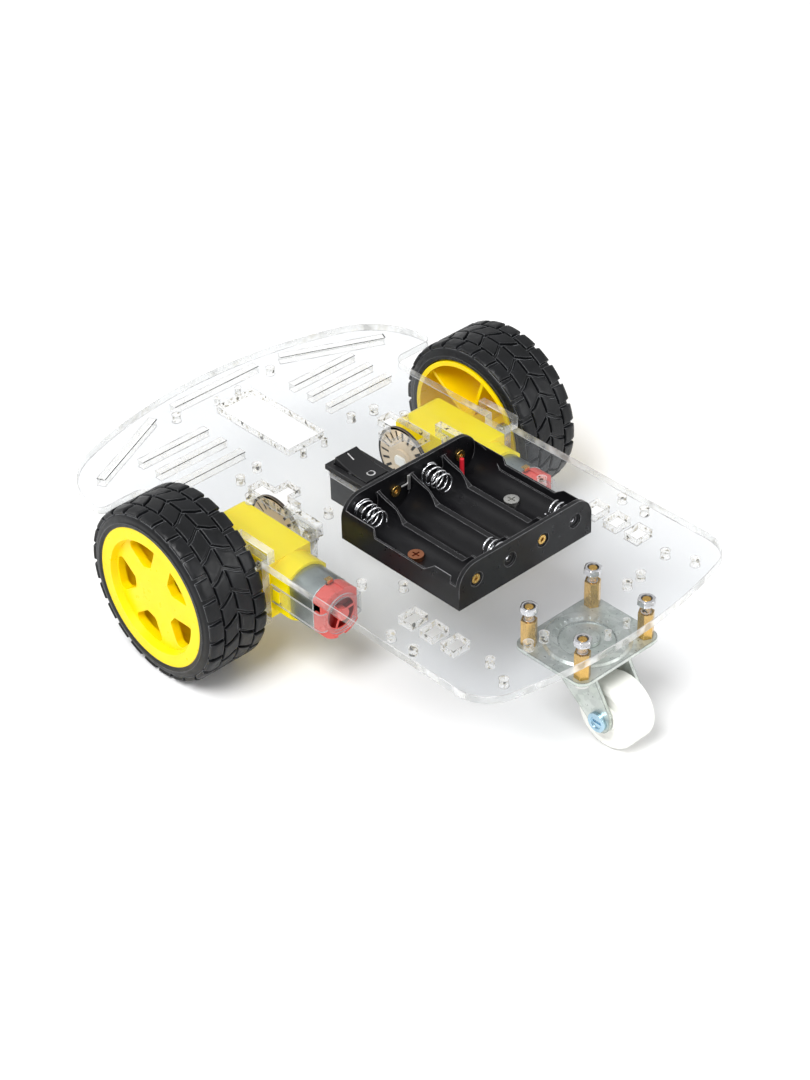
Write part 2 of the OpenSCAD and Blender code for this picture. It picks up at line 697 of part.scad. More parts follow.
module spring_coil() {
  rings = 54;
  sides = 6;
  points = [for (i = [0:rings]) let (
    p = spring_point(i / rings),
    q = spring_point((i + 0.01) / rings),
    along = (q - p) / norm(q - p),
    out = [0, p.y, p.z] / norm([0, p.y, p.z]),
    up = cross(along, out)
  ) for (k = [0:sides - 1]) p + spring_wire * (cos(60 * k) * out + sin(60 * k) * up)];
  walls = [for (i = [0:rings - 1], k = [0:sides - 1]) let (
    a = i * sides + k,
    b = i * sides + (k + 1) % sides
  ) each [[b, a, b + sides], [b + sides, a, a + sides]]];
  first = [for (k = [1:sides - 2]) [0, k, k + 1]];
  last = [for (k = [1:sides - 2]) rings * sides * [1, 1, 1] + [0, k + 1, k]];
  polyhedron(points, concat(walls, first, last));
}

module battery_springs() color(steel) at_tray()
  for (i = [0:3]) translate([far_end[i] * (tray_l / 2 - end_wall - 0.45), cells[i], cell_z])
    rotate([0, 0, far_end[i] > 0 ? 180 : 0]) spring_coil();

module battery_rivets() color(brass) at_tray()
  for (i = [0:3]) translate([-far_end[i] * tray_l / 2, cells[i], cell_z]) rotate([0, 0, far_end[i] > 0 ? 180 : 0])
    difference() {
      union() {
        rod_x(1.1, -end_wall - 0.6, -0.3);
        rod_x(2.1, -end_wall - 0.7, -end_wall);
        rod_x(1.75, -0.8, -0.3);
      }
      rod_x(0.75, -end_wall - 2, 1);
    }

module battery_lead() color("#C81E1E") at_tray()
  translate([tray_l / 2 - end_wall - 3.2, cells[3] + 2, 0.1]) cylinder(r = 0.8, h = cell_z + 0.9);

module battery_tail() color(steel) at_tray()
  translate([tray_l / 2 - end_wall - 0.3, cells[1] - 3, cell_z]) {
    box([-0.5, -2.4, 0.4], [0, 0.6, 1]);
    box([-0.5, -3.6, -2], [0, -2.3, 4]);
  }

module each_tray_screw() at_tray() for (s = [-1, 1]) translate([tray_screw_x, s * tray_screw_y, 0]) children();

module battery_screws() color(steel) each_tray_screw() difference() {
  union() {
    translate([0, 0, -6.5]) cylinder(r = m3_r, h = 8.2);
    translate([0, 0, 1.65]) cylinder(r = m3_head_r, h = 1.7);
  }
  for (a = [0, 90]) rotate([0, 0, a]) box([-1.6, -0.3, 2.4], [1.6, 0.3, 4]);
}

module battery_nuts() color(steel) each_tray_screw() translate([0, 0, -plate_t - m3_nut_h]) difference() {
  cylinder(r = m3_nut_r, h = m3_nut_h, $fn = 6);
  translate([0, 0, -1]) cylinder(r = nut_bore_r, h = m3_nut_h + 2);
}

/* Switch */
module at_switch() translate([axle_x - switch_back, 0, plate_top]) children();

module switch_housing() color(black) at_switch() difference() {
  union() {
    box([-bezel_l / 2, -bezel_w / 2, 0], [bezel_l / 2, bezel_w / 2, bezel_h]);
    box([-switch_body_l / 2, -switch_body_w / 2, -switch_body_h], [switch_body_l / 2, switch_body_w / 2, eps]);
  }
  box([-8.7, -5.4, -switch_body_h + 1.2], [8.7, 5.4, bezel_h + 1]);
  translate([0, 0, rocker_pivot]) rod_y(1 + running, -5.9, 5.9);
  for (x = [-5, 1]) box([x - 0.45, -2.45, -switch_body_h - 1], [x + 0.45, 2.45, -switch_body_h + 2]);
}

// Blade terminals: the rear one ends under the contact, the middle one carries its pivot
module switch_terminals() color(brass) at_switch() {
  box([-5.4, -2.4, -switch_body_h - 7], [-4.6, 2.4, contact_pivot - 0.8]);
  box([0.6, -2.4, -switch_body_h - 7], [1.4, 2.4, contact_pivot - 0.1]);
}

module rocker_outline() polygon(concat(
  [[-rocker_half_l, 2.3], [-4, 1.5], [0, 1.3], [4, 1.5], [rocker_half_l, 2.3], [rocker_half_l + 0.2, 0]],
  arc([0, 0], 7.4, -10, -60, 6),
  [[1, -6.2], [1, -9.2], [0.4, -9.7], [-0.4, -9.7], [-1, -9.2], [-1, -6.2]],
  arc([0, 0], 7.4, -120, -170, 6),
  [[-rocker_half_l - 0.2, 0]]
));

module switch_rocker() color(black) at_switch() translate([0, 0, rocker_pivot]) rotate([0, -rocker_tilt, 0]) {
  slab_y(-rocker_half_w, rocker_half_w) rocker_outline();
  rod_y(1, -5.85, 5.85);
}

// The see-saw contact rocks on the middle terminal, tilted against the rocker
module switch_contact() color(brass) at_switch() translate([1, 0, contact_pivot]) rotate([0, 5, 0]) {
  box([-6.6, -2, 0], [6.6, 2, 0.5]);
}

/* Caster */
module at_caster() translate([axle_x - caster_back, 0, 0]) children();
module each_standoff() at_caster()
  for (x = [-0.5, 0.5], y = [-0.5, 0.5]) translate([x * standoff_x, y * standoff_y, 0]) children();

module caster_plate() color(steel) at_caster() {
  bottom = caster_top - caster_t;
  corner = 4;
  half = [caster_l / 2 - corner, caster_w / 2 - corner];
  difference() {
    union() {
      translate([0, 0, bottom]) linear_extrude(caster_t) polygon(concat(
        arc([half.x, half.y], corner, 0, 90, 6), arc([-half.x, half.y], corner, 90, 180, 6),
        arc([-half.x, -half.y], corner, 180, 270, 6), arc([half.x, -half.y], corner, 270, 360, 6)
      ));
      translate([0, 0, caster_top]) rotate_extrude() polygon([[9.8, -0.2], [15, -0.2], [15, 0], [14.1, 0.8], [11.6, 0.8]]);
    }
    translate([0, 0, bottom - 1]) cylinder(r = kingpin_r + running, h = 4);
    translate([0, 0, caster_top - 0.5]) cylinder(r = 9.6, h = 2);
    for (x = [-0.5, 0.5], y = [-0.5, 0.5])
      translate([x * standoff_x, y * standoff_y, bottom - 1]) cylinder(r = hole_r, h = caster_t + 2);
    translate([0, 0, ball_z]) rotate_extrude() translate([race_r, 0]) circle(r = ball_r + running);
  }
}

module caster_standoffs() color(brass) each_standoff() difference() {
  union() {
    translate([0, 0, caster_top]) cylinder(r = 2.89, h = standoff_l, $fn = 6);
    translate([0, 0, plate_under - 1]) cylinder(r = m3_r, h = plate_t + 3.1);
  }
  translate([0, 0, caster_top - 1]) cylinder(r = nut_bore_r, h = 7.5);
}

module caster_nuts() color(steel) each_standoff() translate([0, 0, plate_top]) difference() {
  cylinder(r = m3_nut_r, h = m3_nut_h, $fn = 6);
  translate([0, 0, -1]) cylinder(r = nut_bore_r, h = m3_nut_h + 2);
}

module caster_screws() color(steel) each_standoff() difference() {
  bottom = caster_top - caster_t;
  union() {
    translate([0, 0, bottom - eps]) cylinder(r = m3_r, h = 6);
    translate([0, 0, bottom - 1.9]) cylinder(r = m3_head_r, h = 1.9);
  }
  for (a = [0, 90]) rotate([0, 0, a]) box([-1.6, -0.3, bottom - 3], [1.6, 0.3, bottom - 1]);
}

module caster_kingpin() color(steel) at_caster() {
  translate([0, 0, fork_top - fork_t - 0.9]) cylinder(r = kingpin_r, h = caster_top - fork_top + fork_t + 1);
  translate([0, 0, caster_top - 0.5]) cylinder(r = 4.4, h = 1.6);
  translate([0, 0, fork_top - fork_t - 1.5]) cylinder(r = 4, h = 1.3);
}

module caster_balls() color(steel) at_caster()
  for (i = [0:11]) rotate([0, 0, 30 * i]) translate([race_r, 0, ball_z]) sphere(r = ball_r);

// One cheek of the fork, from the swivel disc down and back to the axle
module cheek_outline() polygon(concat(
  [[-11, fork_top - fork_t], [9.5, fork_top - fork_t], [8.5, fork_top - fork_t - 4]],
  arc([-trail, caster_r], 4.6, -35, -180, 10),
  [[-trail - 4.6, caster_r + 4]]
));

module caster_fork() color(steel) at_caster() difference() {
  union() {
    translate([0, 0, fork_top - fork_t]) cylinder(r = fork_disc_r, h = fork_t);
    intersection() {
      for (s = [-1, 1]) side(s) slab_y(fork_gap, fork_gap + fork_t) cheek_outline();
      translate([0, 0, -1]) cylinder(r = 40, h = fork_top - fork_t + 1 + eps);
    }
  }
  translate([0, 0, fork_top - 3]) cylinder(r = kingpin_r + running, h = 4);
  translate([0, 0, ball_z]) rotate_extrude() translate([race_r, 0]) circle(r = ball_r + running);
  translate([-trail, 0, caster_r]) rod_y(caster_axle_r + 0.03, -12, 12);
}

module caster_wheel() color(nylon) at_caster() translate([-trail, 0, caster_r]) revolve_y() {
  half = caster_wheel_w / 2;
  polygon(concat(
    [[caster_axle_r + running, -half - 0.6], [5, -half - 0.6], [5, -half + 0.8], [8.8, -half + 0.8], [9.4, -half]],
    arc([caster_r - 2, -half + 2], 2, -90, -10, 5),
    arc([caster_r - 2, half - 2], 2, 10, 90, 5),
    [[9.4, half], [8.8, half - 0.8], [5, half - 0.8], [5, half + 0.6], [caster_axle_r + running, half + 0.6]]
  ));
}

module caster_axle() color(steel) at_caster() translate([-trail, 0, caster_r]) difference() {
  face = fork_gap + fork_t;
  union() {
    rod_y(caster_axle_r, -face - 2.6, face + eps);
    rod_y(3.6, face, face + 1.5);
  }
  rod_y(2.3, face + 1, face + 2);
  box([-1.9, face + 0.3, -0.5], [1.9, face + 2, 0.5]);
}

module caster_axle_nut() color(steel) at_caster() translate([-trail, 0, caster_r]) difference() {
  face = fork_gap + fork_t;
  slab_y(-face - 2, -face) circle(r = 4, $fn = 6);
  rod_y(caster_axle_r + 0.02, -face - 3, -face + 1);
}

chassis_plate();
bracket(1, bracket_out);  // bracket_left_outer
bracket(1, bracket_in);  // bracket_left_inner
bracket(-1, bracket_out);  // bracket_right_outer
bracket(-1, bracket_in);  // bracket_right_inner
bracket_screws();
bracket_nuts();
gearbox_outer(1);  // gearbox_left_outer
gearbox_inner(1);  // gearbox_left_inner
gearbox_outer(-1);  // gearbox_right_outer
gearbox_inner(-1);  // gearbox_right_inner
gearbox_screws();
gear_pins();
motor_can(1);  // motor_can_left
motor_can(-1);  // motor_can_right
motor_cap(1);  // motor_cap_left
motor_cap(-1);  // motor_cap_right
motor_magnets();
motor_terminals();
motor_strap(1);  // motor_strap_left
motor_strap(-1);  // motor_strap_right
battery_tray();
battery_springs();
battery_rivets();
battery_lead();
battery_tail();
battery_screws();
battery_nuts();
switch_housing();
switch_terminals();
caster_plate();
caster_standoffs();
caster_nuts();
caster_screws();
caster_kingpin();
caster_balls();
tyre(1);  // tyre_left
tyre(-1);  // tyre_right
rim(1);  // rim_left
rim(-1);  // rim_right
output_shaft(1);  // output_shaft_left
output_shaft(-1);  // output_shaft_right
output_gear(1);  // output_gear_left
output_gear(-1);  // output_gear_right
encoder_disc(1);  // encoder_disc_left
encoder_disc(-1);  // encoder_disc_right
idler_gear(1);  // idler_gear_left
idler_gear(-1);  // idler_gear_right
crown_gear(1);  // crown_gear_left
crown_gear(-1);  // crown_gear_right
motor_pinion(1);  // motor_pinion_left
motor_pinion(-1);  // motor_pinion_right
motor_rotor(1);  // motor_rotor_left
motor_rotor(-1);  // motor_rotor_right
switch_rocker();
switch_contact();
caster_fork();
caster_wheel();
caster_axle();
caster_axle_nut();
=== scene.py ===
"""Two wheel robot car: the looks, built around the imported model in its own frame."""

import json
import math

import bmesh
import bpy
from mathutils import Matrix, Vector
from mathutils.bvhtree import BVHTree
from mathutils.kdtree import KDTree


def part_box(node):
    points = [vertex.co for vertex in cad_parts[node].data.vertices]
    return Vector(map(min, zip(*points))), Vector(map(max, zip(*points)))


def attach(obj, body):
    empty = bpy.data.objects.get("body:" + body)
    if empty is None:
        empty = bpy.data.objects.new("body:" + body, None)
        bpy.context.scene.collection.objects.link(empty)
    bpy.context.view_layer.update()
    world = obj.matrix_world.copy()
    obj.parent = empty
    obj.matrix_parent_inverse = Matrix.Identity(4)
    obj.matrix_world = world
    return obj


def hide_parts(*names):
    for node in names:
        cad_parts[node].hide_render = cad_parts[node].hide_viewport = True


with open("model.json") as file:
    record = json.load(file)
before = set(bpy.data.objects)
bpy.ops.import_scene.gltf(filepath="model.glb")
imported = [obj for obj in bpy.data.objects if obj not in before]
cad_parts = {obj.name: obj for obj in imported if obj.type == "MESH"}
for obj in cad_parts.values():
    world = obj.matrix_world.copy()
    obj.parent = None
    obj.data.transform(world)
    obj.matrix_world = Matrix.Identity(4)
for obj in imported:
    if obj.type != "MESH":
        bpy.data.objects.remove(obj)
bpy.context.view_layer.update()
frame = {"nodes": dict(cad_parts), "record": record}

MM = 0.001
# Asked of solidify for printed marks and for lines and films of painted shade. On these new faces it adds a
# back to each and no thickness.
FILM = 0.03 * MM
SIDES = {"left": 1, "right": -1}
X, Y, Z = range(3)
BODY_OF = {
    node: body
    for body, members in frame["record"]["behaviour"]["bodies"].items()
    for node in members
}
SLOT_OF = {part["node"]: part["material_slot"] for part in frame["record"]["subparts"]}


# ---------------------------------------------------------------- node trees
# The colour Mix node has sockets of one name for each data type, so its colour sockets go by number
MIX_A, MIX_B, MIX_RESULT = 6, 7, 2
# The painted edge tone, a highlight or shade, shows where the rounded normal's dot product with the true one
# falls from the first to the second
EDGE_STARTS, EDGE_FULL = 0.985, 0.9
EDGE_FADE_MM = 0.6
BELOW_ALL = -1  # a height under the whole car, in millimetres


class Shader:
    """A material's node tree, with short calls for the nodes that every finish here shares."""

    def __init__(self, name):
        self.material = bpy.data.materials.new(name)
        self.material.use_nodes = True
        self.nodes = self.material.node_tree.nodes
        self.links = self.material.node_tree.links
        self.surface = self.nodes["Principled BSDF"]
        self.output = self.nodes["Material Output"]
        self.place = self.nodes.new("ShaderNodeTexCoord").outputs["Object"]

    def set(self, **values):
        for key, value in values.items():
            self.surface.inputs[key.replace("_", " ")].default_value = value
        return self

    def noise(self, size_mm, detail=3.0, stretch=(1, 1, 1)):
        """Noise whose features are about size_mm across, finer along an axis with a larger stretch."""
        scale = self.nodes.new("ShaderNodeMapping")
        scale.inputs["Scale"].default_value = [s / (size_mm * MM) for s in stretch]
        self.links.new(self.place, scale.inputs["Vector"])
        texture = self.nodes.new("ShaderNodeTexNoise")
        texture.inputs["Scale"].default_value = 1.0
        texture.inputs["Detail"].default_value = detail
        self.links.new(scale.outputs["Vector"], texture.inputs["Vector"])
        return texture.outputs["Fac"]

    def cells(self, size_mm):
        """Random grey values in cells about size_mm across."""
        scale = self.nodes.new("ShaderNodeMapping")
        scale.inputs["Scale"].default_value = [1 / (size_mm * MM)] * 3
        self.links.new(self.place, scale.inputs["Vector"])
        texture = self.nodes.new("ShaderNodeTexVoronoi")
        texture.inputs["Scale"].default_value = 1.0
        self.links.new(scale.outputs["Vector"], texture.inputs["Vector"])
        value = self.nodes.new("ShaderNodeRGBToBW")
        self.links.new(texture.outputs["Color"], value.inputs["Color"])
        return value.outputs["Val"]

    def ramp(self, factor, stops):
        """A colour ramp over factor: stops is [(position, colour)]."""
        ramp = self.nodes.new("ShaderNodeValToRGB")
        elements = ramp.color_ramp.elements
        while len(elements) < len(stops):
            elements.new(0.5)
        for element, (position, color) in zip(elements, stops):
            element.position = position
            element.color = (*color, 1)
        self.links.new(factor, ramp.inputs["Fac"])
        return ramp.outputs["Color"]

    def between(self, socket, start, end, low=0.0, high=1.0):
        """low where socket is at start and high where it is at end."""
        spread = self.nodes.new("ShaderNodeMapRange")
        spread.inputs["From Min"].default_value = start
        spread.inputs["From Max"].default_value = end
        spread.inputs["To Min"].default_value = low
        spread.inputs["To Max"].default_value = high
        self.links.new(socket, spread.inputs["Value"])
        return spread.outputs["Result"]

    def span(self, noise, low, high):
        """noise, which lies mostly between 0.3 and 0.7, spread over low to high."""
        return self.between(noise, 0.3, 0.7, low, high)

    def mixed(self, blend, factor, first, second):
        """Two colours mixed by blend. factor is a number or a socket."""
        mix = self.nodes.new("ShaderNodeMix")
        mix.data_type = "RGBA"
        mix.blend_type = blend
        if isinstance(factor, float):
            mix.inputs["Factor"].default_value = factor
        else:
            self.links.new(factor, mix.inputs["Factor"])
        self.links.new(first, mix.inputs[MIX_A])
        self.links.new(second, mix.inputs[MIX_B])
        return mix.outputs[MIX_RESULT]

    def layered(self, factor, under, over):
        """A surface that turns from the shader under to the shader over. factor is a number or a socket."""
        mix = self.nodes.new("ShaderNodeMixShader")
        if isinstance(factor, float):
            mix.inputs["Fac"].default_value = factor
        else:
            self.links.new(factor, mix.inputs["Fac"])
        self.links.new(under, mix.inputs[1])
        self.links.new(over, mix.inputs[2])
        self.links.new(mix.outputs["Shader"], self.output.inputs["Surface"])
        return mix.outputs["Shader"]

    def clear(self, tint):
        """A shader that lets light straight through, tinted."""
        clear = self.nodes.new("ShaderNodeBsdfTransparent")
        clear.inputs["Color"].default_value = (*tint, 1)
        return clear.outputs["BSDF"]

    def edges(self, plain, other, radius_mm, above_mm=BELOW_ALL):
        """plain, turned to the other colour in patches along the edges that lie higher than above_mm: a
        painted highlight where other is paler, painted shade where it is darker.
        """
        rounded = self.nodes.new("ShaderNodeBevel")
        rounded.samples = 4
        rounded.inputs["Radius"].default_value = radius_mm * MM
        flat = self.nodes.new("ShaderNodeNewGeometry")
        turn = self.nodes.new("ShaderNodeVectorMath")
        turn.operation = "DOT_PRODUCT"
        self.links.new(rounded.outputs["Normal"], turn.inputs[0])
        self.links.new(flat.outputs["Normal"], turn.inputs[1])
        height = self.nodes.new("ShaderNodeSeparateXYZ")
        self.links.new(self.place, height.inputs["Vector"])
        both = self.nodes.new("ShaderNodeMath")
        both.operation = "MULTIPLY"
        self.links.new(self.between(turn.outputs["Value"], EDGE_STARTS, EDGE_FULL), both.inputs[0])
        above = self.between(height.outputs["Z"], above_mm * MM, (above_mm + EDGE_FADE_MM) * MM)
        self.links.new(above, both.inputs[1])
        patches = self.ramp(self.noise(4, 3), [(0.35, shade(other, 0.55)), (0.6, other)])
        return self.mixed("MIX", both.outputs["Value"], plain, patches)

    def color(self, socket):
        self.links.new(socket, self.surface.inputs["Base Color"])
        return self

    def rough(self, socket):
        self.links.new(socket, self.surface.inputs["Roughness"])
        return self

    def bump(self, height, depth_mm):
        bump = self.nodes.new("ShaderNodeBump")
        bump.inputs["Strength"].default_value = 1.0
        bump.inputs["Distance"].default_value = depth_mm * MM
        self.links.new(height, bump.inputs["Height"])
        self.links.new(bump.outputs["Normal"], self.surface.inputs["Normal"])
        return self


def shade(color, factor):
    """color made darker or lighter."""
    return tuple(min(1.0, c * factor) for c in color)


def grey(value, warmth=0.0):
    """A grey, or with some warmth a cream or brown of that brightness."""
    return (value, value * (1 - 0.3 * warmth), value * (1 - warmth))


# ---------------------------------------------------------------- materials
def drift(color, start, end, spread):
    """A ramp's stops from a little darker than color to a little lighter."""
    return [(start, shade(color, 1 - spread)), (end, shade(color, 1 + spread))]


def moulded(name, color, rough, grain_mm=0.5, grain_depth=0.02, spread=0.06, **values):
    """Moulded plastic: a fine mould grain, a slow drift in colour and patches of gloss."""
    shader = Shader(name)
    shader.color(shader.ramp(shader.noise(14, 4), drift(color, 0.35, 0.65, spread)))
    shader.rough(shader.span(shader.noise(3, 5), rough - 0.06, rough + 0.08))
    shader.bump(shader.noise(grain_mm, 6), grain_depth)
    return shader.set(**values).material


def metal(name, color, rough, grain_mm=0.4, stretch=(1, 1, 1)):
    """Plated or turned metal: fine tool marks, stretched along the work's direction."""
    shader = Shader(name)
    marks = shader.noise(grain_mm, 6, stretch)
    shader.color(shader.ramp(shader.noise(5, 5), drift(color, 0.3, 0.7, 0.12)))
    shader.rough(shader.span(marks, rough - 0.07, rough + 0.1))
    shader.bump(marks, 0.01)
    return shader.set(Metallic=1.0).material


def zinc():
    """Zinc plate on pressed steel: greenish grey with a soft spangle, stained patches and painted shade along
    its edges.
    """
    shader = Shader("zinc_plate")
    spangle = shader.ramp(shader.cells(2.2), [(0.2, (0.54, 0.57, 0.55)), (0.8, (0.70, 0.73, 0.70))])
    stain = shader.ramp(shader.noise(9, 5), [(0.35, (0.80, 0.84, 0.80)), (0.65, (1.0, 1.0, 1.0))])
    plain = shader.mixed("MULTIPLY", 1.0, spangle, stain)
    # Painted shade: a dark grey painted along every edge, as if shadow fell there.
    shader.color(shader.edges(plain, (0.13, 0.145, 0.14), 0.6))
    shader.rough(shader.span(shader.noise(1.2, 5), 0.26, 0.40))
    shader.bump(shader.noise(0.5, 5), 0.004)
    return shader.set(Metallic=0.62, Specular_IOR_Level=0.6).material


def black_moulding(name, color, rough, light, above_mm, specular):
    """Black plastic with a painted highlight: its upper edges are painted as thin pale lines."""
    shader = Shader(name)
    plain = shader.ramp(shader.noise(14, 4), drift(color, 0.35, 0.65, 0.08))
    # Painted highlight: light is the pale colour painted along the edges above above_mm.
    shader.color(shader.edges(plain, light, 0.3, above_mm))
    shader.rough(shader.span(shader.noise(3, 5), rough - 0.06, rough + 0.08))
    shader.bump(shader.noise(0.45, 6), 0.006)
    return shader.set(Specular_IOR_Level=specular).material


def rubber():
    """Tyre rubber: near black, with a painted highlight along its edges and a fine pebbled skin."""
    shader = Shader("tyre_rubber")
    plain = shader.ramp(shader.noise(6, 6), [(0.3, (0.003, 0.0035, 0.004)), (0.7, (0.007, 0.0075, 0.009))])
    # Painted highlight: a pale grey painted along every edge of the tread blocks and carcass.
    shader.color(shader.edges(plain, (0.17, 0.175, 0.185), 0.34))
    shader.rough(shader.span(shader.noise(2, 5), 0.3, 0.46))
    shader.bump(shader.noise(0.35, 6), 0.03)
    return shader.set(Specular_IOR_Level=0.26).material


def through(shader, tint, haze, gloss_rough=0.02):
    """Makes a shader see-through: light passes with a tint, and the faces mirror as a clear sheet's do."""
    shader.set(Roughness=gloss_rough)
    body = shader.layered(haze, shader.clear(tint), shader.surface.outputs["BSDF"])
    mirror = shader.nodes.new("ShaderNodeBsdfGlossy")
    mirror.inputs["Roughness"].default_value = gloss_rough
    mirror.inputs["Color"].default_value = (1, 1, 1, 1)
    slope = shader.nodes.new("ShaderNodeLayerWeight")
    slope.inputs["Blend"].default_value = 0.5
    shine = [(0.0, grey(0.005)), (0.45, grey(0.012)), (0.8, grey(0.15)), (1.0, grey(0.6))]
    shader.layered(shader.ramp(slope.outputs["Facing"], shine), body, mirror.outputs["BSDF"])
    return shader.material


def acrylic_face():
    """The sheet's polished faces: nearly clear, with a faint cool tint and a little surface dust."""
    shader = Shader("acrylic_face")
    shader.color(shader.ramp(shader.noise(20, 5), [(0.3, (0.80, 0.84, 0.87)), (0.7, (0.92, 0.94, 0.95))]))
    return through(shader, (0.905, 0.913, 0.922), 0.02)


def frosted(shader, tint, frost):
    """Makes a shader see-through with a tint where frost is low, and solid where it is high."""
    shader.layered(frost, shader.clear(tint), shader.surface.outputs["BSDF"])
    return shader.material


def acrylic_edge():
    """The laser-cut edges: half clear, and frosted in lengths whose white, grey and cream are painted
    reflections of light bent through the sheet.
    """
    shader = Shader("acrylic_edge")
    # Painted reflections: these tones stand for light bent through the sheet.
    tones = [
        (0.36, (0.42, 0.41, 0.38)),
        (0.42, (0.80, 0.79, 0.75)),
        (0.50, (0.94, 0.94, 0.94)),
        (0.58, (0.78, 0.76, 0.68)),
        (0.66, (0.97, 0.97, 0.97)),
    ]
    shader.color(shader.ramp(shader.noise(9, 1.5), tones))
    shader.rough(shader.span(shader.noise(0.6, 4, (1, 1, 0.2)), 0.1, 0.3))
    shader.bump(shader.noise(0.8, 3, (1, 1, 0.05)), 0.03)
    frost = shader.ramp(shader.noise(13, 2), [(0.42, grey(0.12)), (0.62, grey(0.62))])
    return frosted(shader, (0.90, 0.91, 0.91), frost)


def acrylic_wall(name, fleck_mm, tones, frosts):
    """The wall of a hole or slot: mostly clear, with flecks where the cut bends the light."""
    shader = Shader(name)
    flecks = shader.noise(fleck_mm, 2)
    shader.color(shader.ramp(flecks, tones))
    shader.bump(shader.noise(0.6, 3), 0.03)
    shader.set(Roughness=0.15)
    return frosted(shader, (0.94, 0.94, 0.93), shader.ramp(flecks, frosts))


def plain_wall(name, fleck_mm, tones, frosts):
    """A wall whose tone runs evenly between two greys."""
    return acrylic_wall(name, fleck_mm, [(0.3, tones[0]), (0.7, tones[1])], frosts)


def clear_band():
    """The thin band over the motor: clear, a little milky, with soft wrinkles."""
    shader = Shader("clear_band")
    shader.color(shader.ramp(shader.noise(6, 4), [(0.3, (0.84, 0.86, 0.86)), (0.7, (0.95, 0.96, 0.96))]))
    shader.bump(shader.noise(5, 2), 0.1)
    return through(shader, (0.95, 0.96, 0.96), 0.05, 0.08)


# Yellow plastic lets a little light through, most of it red
GLOW = {
    "Specular_IOR_Level": 0.25,
    "Subsurface_Weight": 0.25,
    "Subsurface_Radius": (1.0, 0.6, 0.05),
    "Subsurface_Scale": 2.5 * MM,
}

MATERIALS = {
    "face": acrylic_face(),
    "edge": acrylic_edge(),
    # The walls of slots, holes and brackets below: their pale, grey and cream tones are painted reflections
    # of light bent through the clear sheets.
    "slot": plain_wall("slot_wall", 6, (grey(0.7), grey(1.0)), [(0.4, grey(0.1)), (0.6, grey(0.3))]),
    "hole": acrylic_wall(
        "hole_wall",
        2.2,
        [
            (0.34, grey(0.05)),
            (0.40, grey(0.55, 0.35)),
            (0.46, grey(0.95)),
            (0.60, grey(0.9)),
            (0.66, grey(0.4, 0.3)),
        ],
        [(0.36, grey(0.85)), (0.42, grey(0.25)), (0.60, grey(0.3)), (0.68, grey(0.8))],
    ),
    "thin": plain_wall("bracket_edge", 7, (grey(0.8), grey(1.0)), [(0.4, grey(0.1)), (0.6, grey(0.34))]),
    "thin_line": plain_wall("bracket_line", 7, (grey(0.6), grey(1.0)), [(0.4, grey(0.2)), (0.6, grey(0.6))]),
    # Painted highlight on the sheets' fine bevels and on the motor straps' upper and lower faces.
    "line": plain_wall("bevel_highlight_paint", 7, (grey(0.3), grey(0.7)), [(0.3, grey(0.85)), (0.7, grey(0.5))]),
    # Painted shade on the slots' upper front bevels and along their rear edges.
    "dark": plain_wall("slot_shade_paint", 9, (grey(0.02), grey(0.14, 0.3)), [(0.3, grey(1.0)), (0.7, grey(0.7))]),
    "band": clear_band(),
    "gearbox": moulded("yellow_shell", (1.0, 0.76, 0.0), 0.34, 0.6, 0.015, 0.03, **GLOW),
    "rim": moulded("yellow_rim", (0.91, 0.65, 0.0), 0.32, 0.6, 0.012, 0.03, **GLOW),
    "rubber": rubber(),
    # The tray and the switch carry a painted highlight along their upper edges.
    "tray": black_moulding("black_tray", (0.005, 0.005, 0.006), 0.32, (0.26, 0.26, 0.27), 51.4, 0.24),
    "switch": black_moulding("black_switch", (0.009, 0.009, 0.010), 0.4, (0.12, 0.12, 0.125), 47.2, 0.3),
    "mark": moulded("white_mark", (0.86, 0.86, 0.86), 0.5),
    "cap": moulded("red_cap", (0.72, 0.11, 0.09), 0.3, 0.6, 0.01, 0.08),
    # Painted shade: the darker red inside the cap's openings.
    "cap_recess_shade": moulded("red_recess_shade", (0.22, 0.008, 0.006), 0.4, 0.6, 0.02, 0.2),
    "tinned": metal("tinned_strip", (0.90, 0.90, 0.88), 0.42),
    "can": metal("motor_can", (0.42, 0.46, 0.45), 0.34, 0.35, (0.1, 1, 1)),
    "nickel": metal("nickel", (0.72, 0.72, 0.74), 0.2),
    "spring": metal("spring_wire", (0.82, 0.83, 0.86), 0.16),
    "screw": metal("screw_steel", (0.60, 0.60, 0.58), 0.28),
    # Painted shade for the bores of nuts.
    "bore_shade": metal("dark_bore_shade", (0.10, 0.095, 0.09), 0.35),
    "copper": metal("copper_screw", (0.42, 0.17, 0.09), 0.34),
    "brass": metal("brass", (0.66, 0.42, 0.13), 0.24, 0.3, (1, 1, 0.15)),
    "zinc": zinc(),
    "blue_zinc": metal("blue_zinc", (0.42, 0.60, 0.72), 0.2),
    "nylon": moulded("white_nylon", (0.86, 0.86, 0.81), 0.38, 0.7, 0.01, 0.03),
    "disc": moulded("disc_board", (0.66, 0.54, 0.38), 0.5, 0.5, 0.03, 0.12),
    # Painted shade in the encoder slots, and the discs' dark rims.
    "dark_rim_and_slot_shade": moulded("dark_film", (0.035, 0.025, 0.02), 0.35, 0.4),
    "magnet": moulded("ferrite", (0.06, 0.06, 0.065), 0.6),
    "wire": moulded("red_wire", (0.62, 0.015, 0.03), 0.4),
}

